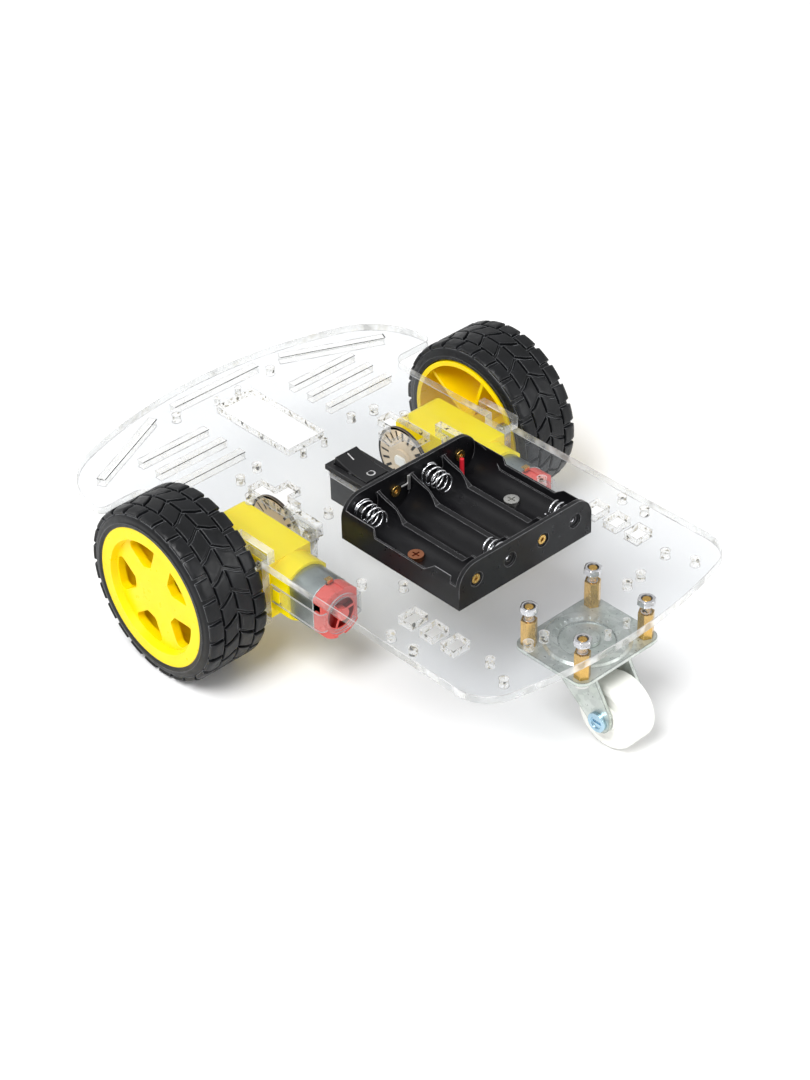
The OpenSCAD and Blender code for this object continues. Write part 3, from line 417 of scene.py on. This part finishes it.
# The look of each material slot, and of the nodes that differ from their slot's others
LOOKS = {
    "clear_acrylic": "face",
    "clear_strap": "band",
    "steel": "screw",
    "zinc_steel": "zinc",
    "yellow_plastic": "gearbox",
    "red_plastic": "cap",
    "magnet": "magnet",
    "brass": "brass",
    "black_plastic": "tray",
    "wire_red": "wire",
    "tyre": "rubber",
    "white_nylon": "nylon",
    "disc_board": "disc",
}
SPECIAL = {
    "rim_left": "rim",
    "rim_right": "rim",
    "switch_housing": "switch",
    "switch_rocker": "switch",
    "motor_can_left": "can",
    "motor_can_right": "can",
    "caster_axle": "blue_zinc",
    "battery_tail": "tinned",
    "caster_nuts": "nickel",
    "battery_springs": "spring",
}


def look(node):
    return MATERIALS[SPECIAL.get(node) or LOOKS[SLOT_OF[node]]]


# ---------------------------------------------------------------- mesh helpers
def place(obj, node, stands_for=False):
    """Links a finished object, lets it ride on its node's body and has it stand for the node."""
    bpy.context.scene.collection.objects.link(obj)
    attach(obj, BODY_OF[node])
    if stands_for:
        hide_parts(node)
    return obj


def round_edges(obj, width_mm, angle=32):
    """A small bevel along every edge sharper than angle, with normals weighted to the large faces."""
    mesh = obj.data
    mesh.polygons.foreach_set("use_smooth", [True] * len(mesh.polygons))
    mesh.set_sharp_from_angle(angle=math.radians(angle))
    if width_mm:
        bevel = obj.modifiers.new("round", "BEVEL")
        bevel.width = width_mm * MM
        bevel.segments = 2
        bevel.limit_method = "ANGLE"
        bevel.angle_limit = math.radians(angle)
        bevel.use_clamp_overlap = True
    weighted = obj.modifiers.new("weighted", "WEIGHTED_NORMAL")
    weighted.keep_sharp = False
    weighted.weight = 60


def clean_copy(node):
    """The CAD node's mesh with its corners joined and its flat faces whole."""
    source = bmesh.new()
    source.from_mesh(frame["nodes"][node].data)
    bmesh.ops.remove_doubles(source, verts=source.verts, dist=0.002 * MM)
    bmesh.ops.dissolve_limit(
        source,
        angle_limit=math.radians(1.0),
        verts=source.verts,
        edges=source.edges,
        delimit=set(),
    )
    return source


def paint(obj, material, wanted):
    """Gives the faces that wanted(face) picks a material of their own."""
    obj.data.materials.append(material)
    index = len(obj.data.materials) - 1
    for face in obj.data.polygons:
        if wanted(face):
            face.material_index = index
    return obj


def soften(node, width_mm):
    """The CAD node's own shape with rounded edges, standing for it."""
    mesh = bpy.data.meshes.new(node + "_soft")
    source = clean_copy(node)
    source.to_mesh(mesh)
    source.free()
    mesh.materials.append(look(node))
    obj = bpy.data.objects.new(node + "_soft", mesh)
    round_edges(obj, width_mm)
    return place(obj, node, stands_for=True)


def from_bmesh(name, source, materials, node, stands_for=False, bevel=0.0, angle=32):
    """An object from a bmesh, riding with node and, if it stands for it, in its place."""
    mesh = bpy.data.meshes.new(name)
    bmesh.ops.recalc_face_normals(source, faces=source.faces)
    source.to_mesh(mesh)
    source.free()
    for material in materials:
        mesh.materials.append(material)
    obj = bpy.data.objects.new(name, mesh)
    round_edges(obj, bevel, angle)
    return place(obj, node, stands_for)


def from_curve(curve, loops, cyclic):
    """The mesh that a curve with its own width makes along loops of points in metres."""
    for loop in loops:
        spline = curve.splines.new("POLY")
        spline.points.add(len(loop) - 1)
        for point, place_m in zip(spline.points, loop):
            point.co = (*place_m, 1)
        spline.use_cyclic_u = cyclic
    maker = bpy.data.objects.new(curve.name + "_maker", curve)
    bpy.context.scene.collection.objects.link(maker)
    bpy.context.view_layer.update()
    ready = maker.evaluated_get(bpy.context.evaluated_depsgraph_get())
    mesh = bpy.data.meshes.new_from_object(ready)
    bpy.data.objects.remove(maker)
    return mesh


def circle(count):
    """Equally spaced angles all round."""
    return [2 * math.pi * i / count for i in range(count)]


def steps(loop):
    """Each point of a closed loop with the next."""
    return zip(loop, loop[1:] + loop[:1])


def divided(a, b, parts):
    """The flat points that divide the way from a to b into equal parts, a among them and b not."""
    return [(a[0] + (b[0] - a[0]) * k / parts, a[1] + (b[1] - a[1]) * k / parts) for k in range(parts)]


def signed_area(loop):
    """A flat outline's area, above zero where it runs anticlockwise."""
    return sum(a[0] * b[1] - b[0] * a[1] for a, b in steps(loop)) / 2


def revolve(source, line, turns, centre):
    """Adds a ring round an axis along Y: line is the closed section's [(radius, distance along Y)] in mm."""
    rings = []
    for a in circle(turns):
        points = [Vector(centre) + Vector((r * math.cos(a), y, r * math.sin(a))) for r, y in line]
        rings.append([source.verts.new(point * MM) for point in points])
    for a, b in steps(rings):
        join_rings(source, a, b)


def join_rings(source, a, b):
    """Quads between two closed rings of as many points. Returns them in the rings' order."""
    return [source.faces.new((p, q, s, r)) for (p, q), (r, s) in zip(steps(a), steps(b))]


def arc(cx, cy, r, a0, a1, n=8):
    """Points of an arc, angles in degrees."""
    angles = [math.radians(a0 + (a1 - a0) * i / n) for i in range(n + 1)]
    return [(cx + r * math.cos(a), cy + r * math.sin(a)) for a in angles]


# ---------------------------------------------------------------- clear sheets
# Where a sheet's materials stand in its list: the faces, three kinds of wall and two kinds of fine bevel, one
# with a painted highlight and one that is painted shade on the plate
FACE, EDGE, SLOT, HOLE, LINE, DARK = range(6)
SHEET_BEVEL = 0.22 * MM
SLOT_MEAN = 1.9 * MM  # an outline's area over its length, which is about half a narrow slot's width
SLOT_ROUND = 40 * MM  # the way round the shortest slot


def other_axes(axis):
    return [i for i in (X, Y, Z) if i != axis]


def outlines(node, axis):
    """The closed outlines of a flat sheet's upper face, seen along axis, each a list of (u, v) in metres."""
    source = clean_copy(node)
    low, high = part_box(node)
    level = high[axis]
    across = other_axes(axis)
    top = {v for v in source.verts if abs(v.co[axis] - level) < 0.01 * MM}
    follow = {}
    for edge in source.edges:
        if edge.verts[0] in top and edge.verts[1] in top:
            flat = sum(abs(f.normal[axis]) > 0.99 for f in edge.link_faces)
            if flat == 1:
                a, b = edge.verts
                follow.setdefault(a, []).append(b)
                follow.setdefault(b, []).append(a)
    loops = []
    left = dict.fromkeys(follow)
    while left:
        start = next(iter(left))
        del left[start]
        loop = [start]
        before, here = None, start
        while True:
            ahead = [v for v in follow[here] if v is not before and (v in left or v is start)]
            if not ahead or ahead[0] is start:
                break
            before, here = here, ahead[0]
            left.pop(here, None)
            loop.append(here)
        if len(loop) > 2:
            loops.append([(v.co[across[0]], v.co[across[1]]) for v in loop])
    source.free()
    return loops, low, high


def is_slot(loop):
    """Whether an opening's outline is long and narrow."""
    length = sum(math.dist(a, b) for a, b in steps(loop))
    return abs(signed_area(loop)) / length < SLOT_MEAN and length > SLOT_ROUND


def wall_kinds(loops):
    """A lookup from a point to its wall's material: EDGE, SLOT or HOLE."""
    rim = max(loops, key=lambda loop: abs(signed_area(loop)))
    marks = []
    for loop in loops:
        kind = EDGE if loop is rim else SLOT if is_slot(loop) else HOLE
        for a, b in steps(loop):
            marks += [(u, v, kind) for u, v in divided(a, b, max(1, int(math.dist(a, b) / MM)))]
    tree = KDTree(len(marks))
    for i, (u, v, _) in enumerate(marks):
        tree.insert((u, v, 0), i)
    tree.balance()
    return lambda point: marks[tree.find((point[0], point[1], 0))[1]][2]


def sheet_part(normal, axis, kind, upper):
    """The material's place in the list, from a face's direction. A slot's upper front bevel takes the DARK
    place, painted shade on the plate, and the other bevels the LINE place, a painted highlight.
    """
    if abs(normal[axis]) > 0.98:
        return FACE
    if abs(normal[axis]) < 0.15:
        return kind
    return DARK if kind == SLOT and upper and normal.x > 0.3 else LINE


def slot_shade_lines(node, width_mm=0.42):
    """A painted shade line along the rear edge of each narrow slot, on the sheet's top face."""
    loops, _, high = outlines(node, Z)
    top = high.z + 0.01 * MM
    source = bmesh.new()
    for loop in filter(is_slot, loops):
        turn = 1 if signed_area(loop) > 0 else -1
        for a, b in steps(loop):
            side = Vector((b[1] - a[1], a[0] - b[0], 0)).normalized() * turn
            if side.x < -0.3:
                near, far = (Vector((*point, top)) for point in (a, b))
                out = side * width_mm * MM
                source.faces.new([source.verts.new(v) for v in (near, far, far + out, near + out)])
    bmesh.ops.solidify(source, geom=source.faces[:], thickness=FILM)
    from_bmesh(node + "_lines", source, [MATERIALS["dark"]], node)


def clear_sheet(node, axis, names):
    """A laser-cut clear sheet, finely bevelled round every outline. names are its materials, FACE to DARK."""
    loops, low, high = outlines(node, axis)
    middle = (high[axis] + low[axis]) / 2
    curve = bpy.data.curves.new(node + "_outline", "CURVE")
    curve.dimensions = "2D"
    curve.fill_mode = "BOTH"
    curve.extrude = (high[axis] - low[axis]) / 2 - SHEET_BEVEL
    curve.bevel_depth = SHEET_BEVEL
    curve.bevel_resolution = 1
    curve.offset = -SHEET_BEVEL
    mesh = from_curve(curve, [[(u, v, 0) for u, v in loop] for loop in loops], True)
    if axis == Z:
        mesh.transform(Matrix.Translation((0, 0, middle)))
    else:
        mesh.transform(Matrix(((1, 0, 0, 0), (0, 0, 1, middle), (0, 1, 0, 0), (0, 0, 0, 1))))
    source = bmesh.new()
    source.from_mesh(mesh)
    bmesh.ops.remove_doubles(source, verts=source.verts, dist=0.004 * MM)
    bmesh.ops.recalc_face_normals(source, faces=source.faces)
    nearest = wall_kinds(loops)
    for face in source.faces:
        centre = face.calc_center_median()
        kind = nearest([centre[i] for i in other_axes(axis)])
        face.material_index = sheet_part(face.normal, axis, kind, centre[axis] > middle)
    mesh = bpy.data.meshes.new(node + "_cut")
    source.to_mesh(mesh)
    source.free()
    for name in names:
        mesh.materials.append(MATERIALS[name])
    obj = bpy.data.objects.new(node + "_cut", mesh)
    mesh.set_sharp_from_angle(angle=math.radians(28))
    mesh.polygons.foreach_set("use_smooth", [abs(face.normal[axis]) < 0.9 for face in mesh.polygons])
    return place(obj, node, stands_for=True)


# ---------------------------------------------------------------- tyres
TYRE_LOW, TYRE_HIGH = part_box("tyre_left")
TYRE_IN, TYRE_OUT = TYRE_LOW.y / MM, TYRE_HIGH.y / MM
WHEEL_R = (TYRE_HIGH.z - TYRE_LOW.z) / 2 / MM
WHEEL_X = (TYRE_HIGH.x + TYRE_LOW.x) / 2 / MM
WHEEL_Z = WHEEL_R
RIM_R = 25.8
LIP_REACH = 0.42  # how far the bead's lip stands out past the tyre's side
LIP_ROOM = 0.55  # between the tyre's side and its box, which leaves room for the lip
PITCHES = 25  # repeats of the tread round the tyre
TREAD_DEPTH = 1.35
SHOULDER_R = 2.5
GROOVE = 1.5  # between one block and the next round the tyre
ARROW_LEAD = 3.5  # how far an arrow's inner end runs ahead of its outer end
BLOCK_STEP = 1.3  # between the points along a block's side
# A block's rings from the foot up: how far each is moved in, and its height as a share of the tread's depth
BLOCK_RINGS = [(-0.22, -0.25), (0.0, 0.78), (0.12, 0.93), (0.34, 1.0), (0.95, 1.0)]


class Tread:
    """The tyre's section as a line: distance along it from the middle gives radius, width and normal."""

    mid = (TYRE_IN + TYRE_OUT) / 2
    half = (TYRE_OUT - TYRE_IN) / 2 - LIP_ROOM
    base = WHEEL_R - TREAD_DEPTH
    flat = half - SHOULDER_R
    bend = SHOULDER_R * math.pi / 2

    def at(self, t):
        """(radius, y, normal's radial part, normal's y part) at t along the line."""
        side, t = math.copysign(1, t), abs(t)
        if t <= self.flat:
            return self.base, self.mid + side * t, 1.0, 0.0
        if t <= self.flat + self.bend:
            a = (t - self.flat) / SHOULDER_R
            r = self.base - SHOULDER_R + SHOULDER_R * math.cos(a)
            y = self.flat + SHOULDER_R * math.sin(a)
            return r, self.mid + side * y, math.cos(a), side * math.sin(a)
        return self.base - SHOULDER_R - (t - self.flat - self.bend), self.mid + side * self.half, 0.0, side

    def point(self, s, t, height, sy):
        """s runs round the wheel at its outer radius, and the height fades down the side wall."""
        r, y, nr, ny = self.at(t)
        lift = height * TREAD_DEPTH * (0.42 + 0.58 * nr)
        r += lift * nr
        y += lift * ny * 0.95
        a = s / WHEEL_R
        return Vector((WHEEL_X + r * math.sin(a), sy * y, WHEEL_Z + r * math.cos(a))) * MM


TREAD = Tread()


def inset(points, d):
    """A polygon moved inwards by d, or outwards where d is negative. Points run anticlockwise."""
    lines = []
    for (x0, y0), (x1, y1) in steps(points):
        length = math.hypot(x1 - x0, y1 - y0)
        dx, dy = (x1 - x0) / length, (y1 - y0) / length
        lines.append((x0 - dy * d, y0 + dx * d, dx, dy))
    corners = []
    for (px, py, dx, dy), (qx, qy, ex, ey) in zip(lines[-1:] + lines, lines):
        cross = dx * ey - dy * ex
        if abs(cross) < 1e-6:
            corners.append((qx, qy))
        else:
            k = ((qx - px) * ey - (qy - py) * ex) / cross
            corners.append((px + dx * k, py + dy * k))
    return corners


def block(source, outline, sy, turn):
    """One closed tread block: a drafted wall, a soft edge and a top that follows the tyre."""
    parts = [max(1, round(math.dist(a, b) / BLOCK_STEP)) for a, b in steps(outline)]
    rings = []
    for d, height in BLOCK_RINGS:
        ring = []
        for (a, b), count in zip(steps(inset(outline, d)), parts):
            points = divided(a, b, count)
            ring += [source.verts.new(TREAD.point(s + turn, t, height, sy)) for s, t in points]
        rings.append(ring)
    for a, b in zip(rings, rings[1:]):
        join_rings(source, a, b)
    caps = [source.faces.new(rings[-1]), source.faces.new(rings[0][::-1])]
    bmesh.ops.triangulate(source, faces=caps)


def tread_rows(pitch):
    """The outlines of one pitch of tread: square shoulder blocks and two rows of arrows pointing forwards."""
    shoulder_end = TREAD.flat + TREAD.bend * 0.42
    long = pitch - GROOVE
    shoulder = [(0, 6.95), (long - 0.1, 6.95), (long - 0.3, shoulder_end), (0.2, shoulder_end)]
    arrow = [(ARROW_LEAD, 0.42), (ARROW_LEAD + long, 0.42), (long + 0.9, 3.9)]
    arrow += [(long, 6.2), (0, 6.2), (0.9, 3.9)]
    rows = []
    for side, shift in ((1, 0.5), (-1, 0.7)):
        for outline, offset in ((shoulder, shift * pitch), (arrow, 0)):
            shape = [(s + offset, side * t) for s, t in outline]
            rows.append(shape if side > 0 else shape[::-1])
    return rows


def tyre(side, sy):
    """The carcass with a lip at each bead, and the tread's blocks standing in it."""
    source = bmesh.new()
    half = TREAD.half
    carcass = [(RIM_R + 0.35, half - 1.4), (RIM_R + 0.5, half + 0.1), (RIM_R + 0.9, half + LIP_REACH)]
    carcass += [(RIM_R + 2.0, half + LIP_REACH), (RIM_R + 2.35, half + 0.1)]
    carcass += arc(TREAD.base - SHOULDER_R, half - SHOULDER_R, SHOULDER_R, 90, 0)
    section = carcass + [(r, -t) for r, t in reversed(carcass)]
    revolve(source, [(r, sy * (TREAD.mid + t)) for r, t in section], 144, (WHEEL_X, 0, WHEEL_Z))
    pitch = 2 * math.pi * WHEEL_R / PITCHES
    rows = tread_rows(pitch)
    for i in range(PITCHES):
        for outline in rows:
            block(source, outline, sy, i * pitch)
    node = f"tyre_{side}"
    from_bmesh(node + "_tread", source, [MATERIALS["rubber"]], node, stands_for=True, bevel=0.2, angle=40)


# ---------------------------------------------------------------- motor caps
def motor_cap(side):
    """The end cap, with painted shade: its openings are painted a darker red."""
    node = f"motor_cap_{side}"
    low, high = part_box(node)
    middle = (low + high) / 2

    def sunk(face):
        """Whether a face is the floor or the wall of an opening."""
        off = math.hypot(face.center.y - middle.y, face.center.z - middle.z) / MM
        depth = (face.center.x - low.x) / MM
        if abs(face.normal.x) > 0.9:
            return 2.4 < depth < 4 and off < 6
        return 2 < depth < 3.2 and 2.5 < off < 6.2

    paint(soften(node, 0.3), MATERIALS["cap_recess_shade"], sunk)


# ---------------------------------------------------------------- encoder discs
DISC_RIM_R = 12.6
DISC_MID = 1.5  # from the node's inner face to the middle of the disc
# The film in the slots, which is painted shade, and the ticks on the rim: inner and outer radius, how many,
# half of one's angle, and how far it lies from the disc's middle on each side
DISC_FILMS = [(7.7, 11.5, 20, 0.75 / 9.6, 0.2), (12.0, 12.95, 60, math.pi / 60, 0.56)]


def encoder(side, sy):
    """The disc with a dark rim, and a dark film in each of its slots as painted shade."""
    node = f"encoder_disc_{side}"

    def on_rim(face):
        return math.hypot(face.center.x / MM - WHEEL_X, face.center.z / MM - WHEEL_Z) > DISC_RIM_R

    paint(soften(node, 0.1), MATERIALS["dark_rim_and_slot_shade"], on_rim)
    middle_y = sy * (min(abs(corner.y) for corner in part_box(node)) / MM + DISC_MID)
    source = bmesh.new()
    for inner, outer, count, half, depth in DISC_FILMS:
        for a in circle(count):
            corners = [(inner, a - half), (outer, a - half), (outer, a + half), (inner, a + half)]
            ring = [(WHEEL_X + r * math.cos(b), WHEEL_Z + r * math.sin(b)) for r, b in corners]
            for y in (middle_y - depth, middle_y + depth):
                source.faces.new([source.verts.new(Vector((x, y, z)) * MM) for x, z in ring])
    bmesh.ops.solidify(source, geom=source.faces[:], thickness=FILM)
    from_bmesh(node + "_film", source, [MATERIALS["dark_rim_and_slot_shade"]], node)


# ---------------------------------------------------------------- nuts
NUT_R = 3.175  # to the corners
NUT_BORE_R = 1.52
COUNTERSINK = 0.4


def hex_turn(a):
    """The angle from the nearest side's middle, where a hexagon's corners lie at 0, 60, 120 degrees."""
    return (a % (math.pi / 3)) - math.pi / 6


def nut(source, centre, height):
    """A hexagon nut, its top and bottom corners turned off and its bore countersunk, with painted shade in
    the bore and its countersinks.
    """
    flat = NUT_R * math.cos(math.pi / 6)
    turned = flat * 0.97
    mouth_r = NUT_BORE_R + COUNTERSINK
    rings = []
    for a in circle(48):
        reach = flat / math.cos(hex_turn(a))
        drop = (reach - turned) * 0.58
        line = [(reach, drop), (turned, 0), (mouth_r, 0), (NUT_BORE_R, COUNTERSINK)]
        line += [(NUT_BORE_R, height - COUNTERSINK), (mouth_r, height)]
        line += [(turned, height), (reach, height - drop)]
        points = [centre + Vector((r * math.cos(a), r * math.sin(a), z)) for r, z in line]
        rings.append([source.verts.new(point * MM) for point in points])
    for a, b in steps(rings):
        for k, face in enumerate(join_rings(source, a, b)):
            # The countersinks and the bore take the second material, painted shade.
            face.material_index = 1 if 2 <= k <= 4 else 0


def plate_nuts(node):
    """The nuts of a node whose axes are upright, one at each corner of its box."""
    low, high = (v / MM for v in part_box(node))
    across = NUT_R * math.cos(math.pi / 6)
    xs = sorted({round(low.x + NUT_R, 2), round(high.x - NUT_R, 2)})
    ys = sorted({round(low.y + across, 2), round(high.y - across, 2)})
    source = bmesh.new()
    for x in xs:
        for y in ys:
            nut(source, Vector((x, y, low.z)), high.z - low.z)
    from_bmesh(node + "_turned", source, [look(node), MATERIALS["bore_shade"]], node, stands_for=True, angle=24)


# ---------------------------------------------------------------- battery springs
TRAY_LOW, TRAY_HIGH = (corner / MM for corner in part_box("battery_tray"))
TRAY_MID = (TRAY_LOW + TRAY_HIGH) / 2
CELL_PITCH = 15.3
CELL_Z = TRAY_LOW.z + 8.8
END_WALL = 1.6
WIRE_R = 0.31
SPRING_R = 4.1  # of the first turn, at the wall
SPRING_TURNS = 4.6
SPRING_POINTS = 180


def coil(place_y, end, first_angle):
    """One spring's line: a closed turn on the wall, then open turns that narrow towards the cell."""
    reach = (TRAY_HIGH.x - TRAY_LOW.x) / 2 - END_WALL - 0.5
    line = []
    for k in range(SPRING_POINTS + 1):
        lap = k / SPRING_POINTS * SPRING_TURNS
        from_wall = 0.5 * min(lap, 1) + max(0, lap - 1) * 2.35
        radius = SPRING_R - 0.22 * lap
        a = 2 * math.pi * lap + first_angle
        x = TRAY_MID.x + end * (reach - from_wall)
        line.append(Vector((x, place_y + radius * math.cos(a), CELL_Z + radius * math.sin(a))) * MM)
    return line


def springs():
    """The four cell springs, at the tray's two ends by turns."""
    curve = bpy.data.curves.new("spring_coils_line", "CURVE")
    curve.dimensions = "3D"
    curve.bevel_depth = WIRE_R * MM
    curve.bevel_resolution = 3
    curve.use_fill_caps = True
    lines = [coil(TRAY_MID.y + (1.5 - i) * CELL_PITCH, 1 if i % 2 == 0 else -1, 0.7 * i) for i in range(4)]
    mesh = from_curve(curve, lines, False)
    mesh.name = "spring_coils"
    mesh.materials.clear()
    mesh.materials.append(MATERIALS["spring"])
    mesh.polygons.foreach_set("use_smooth", [True] * len(mesh.polygons))
    mesh.set_sharp_from_angle(angle=math.radians(50))
    place(bpy.data.objects.new("spring_coils", mesh), "battery_springs", stands_for=True)


# ---------------------------------------------------------------- switch marks
MARK_AT = 0.62  # how far along the way from the rocker's middle to its end a mark lies
MARK_RING = (1.15, 1.65)  # the ring's two radii
MARK_LINE = (1.7, 0.26)  # half the line's length and half its width


def top_of(node, x, y):
    """Where a line straight down meets the node's highest face, with that face's normal."""
    mesh = frame["nodes"][node].data
    tree = BVHTree.FromPolygons([v.co for v in mesh.vertices], [face.vertices for face in mesh.polygons])
    point, normal, _, _ = tree.ray_cast(Vector((x * MM, y * MM, 1)), Vector((0, 0, -1)))
    return point, normal


def switch_marks():
    """The line and the ring on the rocker's two slopes, as thin print that tilts with it."""
    low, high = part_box("switch_rocker")
    middle = (low + high) / 2 / MM
    reach = (high.x - low.x) / 2 / MM
    source = bmesh.new()
    for end, ring in ((1, False), (-1, True)):
        point, normal = top_of("switch_rocker", middle.x + end * reach * MARK_AT, middle.y)
        lengthwise = Vector((1, 0, 0)).cross(normal).cross(normal).normalized()
        across = normal.cross(lengthwise)
        base = point + normal * 0.02 * MM
        if ring:
            lines = [[(r * math.cos(a), r * math.sin(a)) for r in MARK_RING] for a in circle(40)]
        else:
            length, width = MARK_LINE
            lines = [[(u, -width), (u, width)] for u in (-length, length)]
        rows = []
        for line in lines:
            points = [base + (lengthwise * u + across * v) * MM for u, v in line]
            rows.append([source.verts.new(point) for point in points])
        for a, b in steps(rows) if ring else zip(rows, rows[1:]):
            source.faces.new((a[0], a[1], b[1], b[0]))
    bmesh.ops.solidify(source, geom=source.faces[:], thickness=FILM)
    from_bmesh("rocker_marks", source, [MATERIALS["mark"]], "switch_rocker")


# ---------------------------------------------------------------- the whole car
def build():
    """Every visible piece, and the plain CAD nodes' materials."""
    clear_sheet("chassis_plate", Z, ("face", "edge", "slot", "hole", "line", "dark"))
    slot_shade_lines("chassis_plate")
    for side in SIDES:
        clear_sheet(f"bracket_{side}_outer", Y, ("face", "thin", "thin", "hole", "thin_line", "thin_line"))
        clear_sheet(f"bracket_{side}_inner", Y, ("face", "hole", "hole", "hole", "line", "line"))
    for side, sy in SIDES.items():
        tyre(side, sy)
        soften(f"rim_{side}", 0.5)
        soften(f"gearbox_{side}_outer", 0.45)
        soften(f"gearbox_{side}_inner", 0.45)
        soften(f"motor_can_{side}", 0.6)
        motor_cap(side)
        # The strap's upper and lower faces take a painted highlight.
        paint(soften(f"motor_strap_{side}", 0.15), MATERIALS["line"], lambda face: abs(face.normal.z) > 0.6)
        encoder(side, sy)
        soften(f"output_shaft_{side}", 0.2)
    springs()
    soften("battery_tray", 0.3)
    soften("switch_housing", 0.35)
    soften("switch_rocker", 0.3)
    switch_marks()
    for node in ("caster_plate", "caster_fork", "caster_wheel", "caster_kingpin"):
        soften(node, 0.3)
    for node in ("caster_standoffs", "bracket_nuts", "caster_axle_nut"):
        soften(node, 0.22)
    plate_nuts("caster_nuts")
    plate_nuts("battery_nuts")
    for node in ("caster_screws", "bracket_screws", "gearbox_screws", "caster_axle"):
        soften(node, 0.18)
    paint(soften("battery_screws", 0.18), MATERIALS["copper"], lambda face: face.center.y > 0)
    for node in ("battery_rivets", "battery_lead", "battery_tail", "switch_terminals", "motor_terminals"):
        soften(node, 0.1)
    for name, node in frame["nodes"].items():
        if not node.hide_render:
            node.data.materials.clear()
            node.data.materials.append(look(name))
            node.data.polygons.foreach_set("use_smooth", [False] * len(node.data.polygons))


# ---------------------------------------------------------------- camera and studio
def aim(obj, target, roll=0.0):
    """Turns an object's -Z towards target, then rolls it about that line."""
    back = (obj.location - Vector(target)).normalized()
    right = Vector((0, 0, 1)).cross(back).normalized()
    up = back.cross(right)
    turned = right * math.cos(roll) + up * math.sin(roll)
    above = back.cross(turned)
    obj.matrix_world = Matrix.Translation(obj.location) @ Matrix((turned, above, back)).transposed().to_4x4()


def camera():
    """The place, the lens and the slight roll from which the car is seen."""
    data = bpy.data.cameras.new("camera")
    data.lens = 85.16
    data.sensor_width = 36
    data.sensor_fit = "AUTO"
    data.clip_start, data.clip_end = 0.05, 20
    obj = bpy.data.objects.new("camera", data)
    bpy.context.scene.collection.objects.link(obj)
    obj.location = Vector((-533.1, 484.8, 554.5)) * MM
    aim(obj, Vector((1.5, 0, 29)) * MM, math.radians(-1.57))
    bpy.context.scene.camera = obj


def soft_light(name, where_mm, size_mm, watts):
    """A rectangular light that faces the car."""
    data = bpy.data.lights.new(name, "AREA")
    data.shape = "RECTANGLE"
    data.size, data.size_y = size_mm[0] * MM, size_mm[1] * MM
    data.energy = watts
    obj = bpy.data.objects.new(name, data)
    bpy.context.scene.collection.objects.link(obj)
    obj.location = Vector(where_mm) * MM
    aim(obj, Vector((0, 0, 20)) * MM)


def studio():
    """A pale floor under an even white sky, with three soft lights."""
    world = bpy.data.worlds.new("studio")
    world.use_nodes = True
    world.node_tree.nodes["Background"].inputs["Color"].default_value = (1, 1, 1, 1)
    world.node_tree.nodes["Background"].inputs["Strength"].default_value = 0.66
    bpy.context.scene.world = world
    bpy.context.scene.view_settings.view_transform = "Standard"
    floor = bmesh.new()
    bmesh.ops.create_grid(floor, x_segments=2, y_segments=2, size=6)
    mesh = bpy.data.meshes.new("floor")
    floor.to_mesh(mesh)
    floor.free()
    shader = Shader("floor")
    shader.color(shader.ramp(shader.noise(400, 2), [(0.3, grey(0.83)), (0.7, grey(0.86))]))
    shader.set(Roughness=0.9, Specular_IOR_Level=0.1)
    mesh.materials.append(shader.material)
    obj = bpy.data.objects.new("floor", mesh)
    bpy.context.scene.collection.objects.link(obj)
    soft_light("key", (-250, 800, 1300), (700, 700), 22)
    soft_light("fill", (-1300, -600, 800), (700, 700), 8)
    soft_light("back", (1300, 500, 900), (900, 600), 4)


build()
studio()
camera()
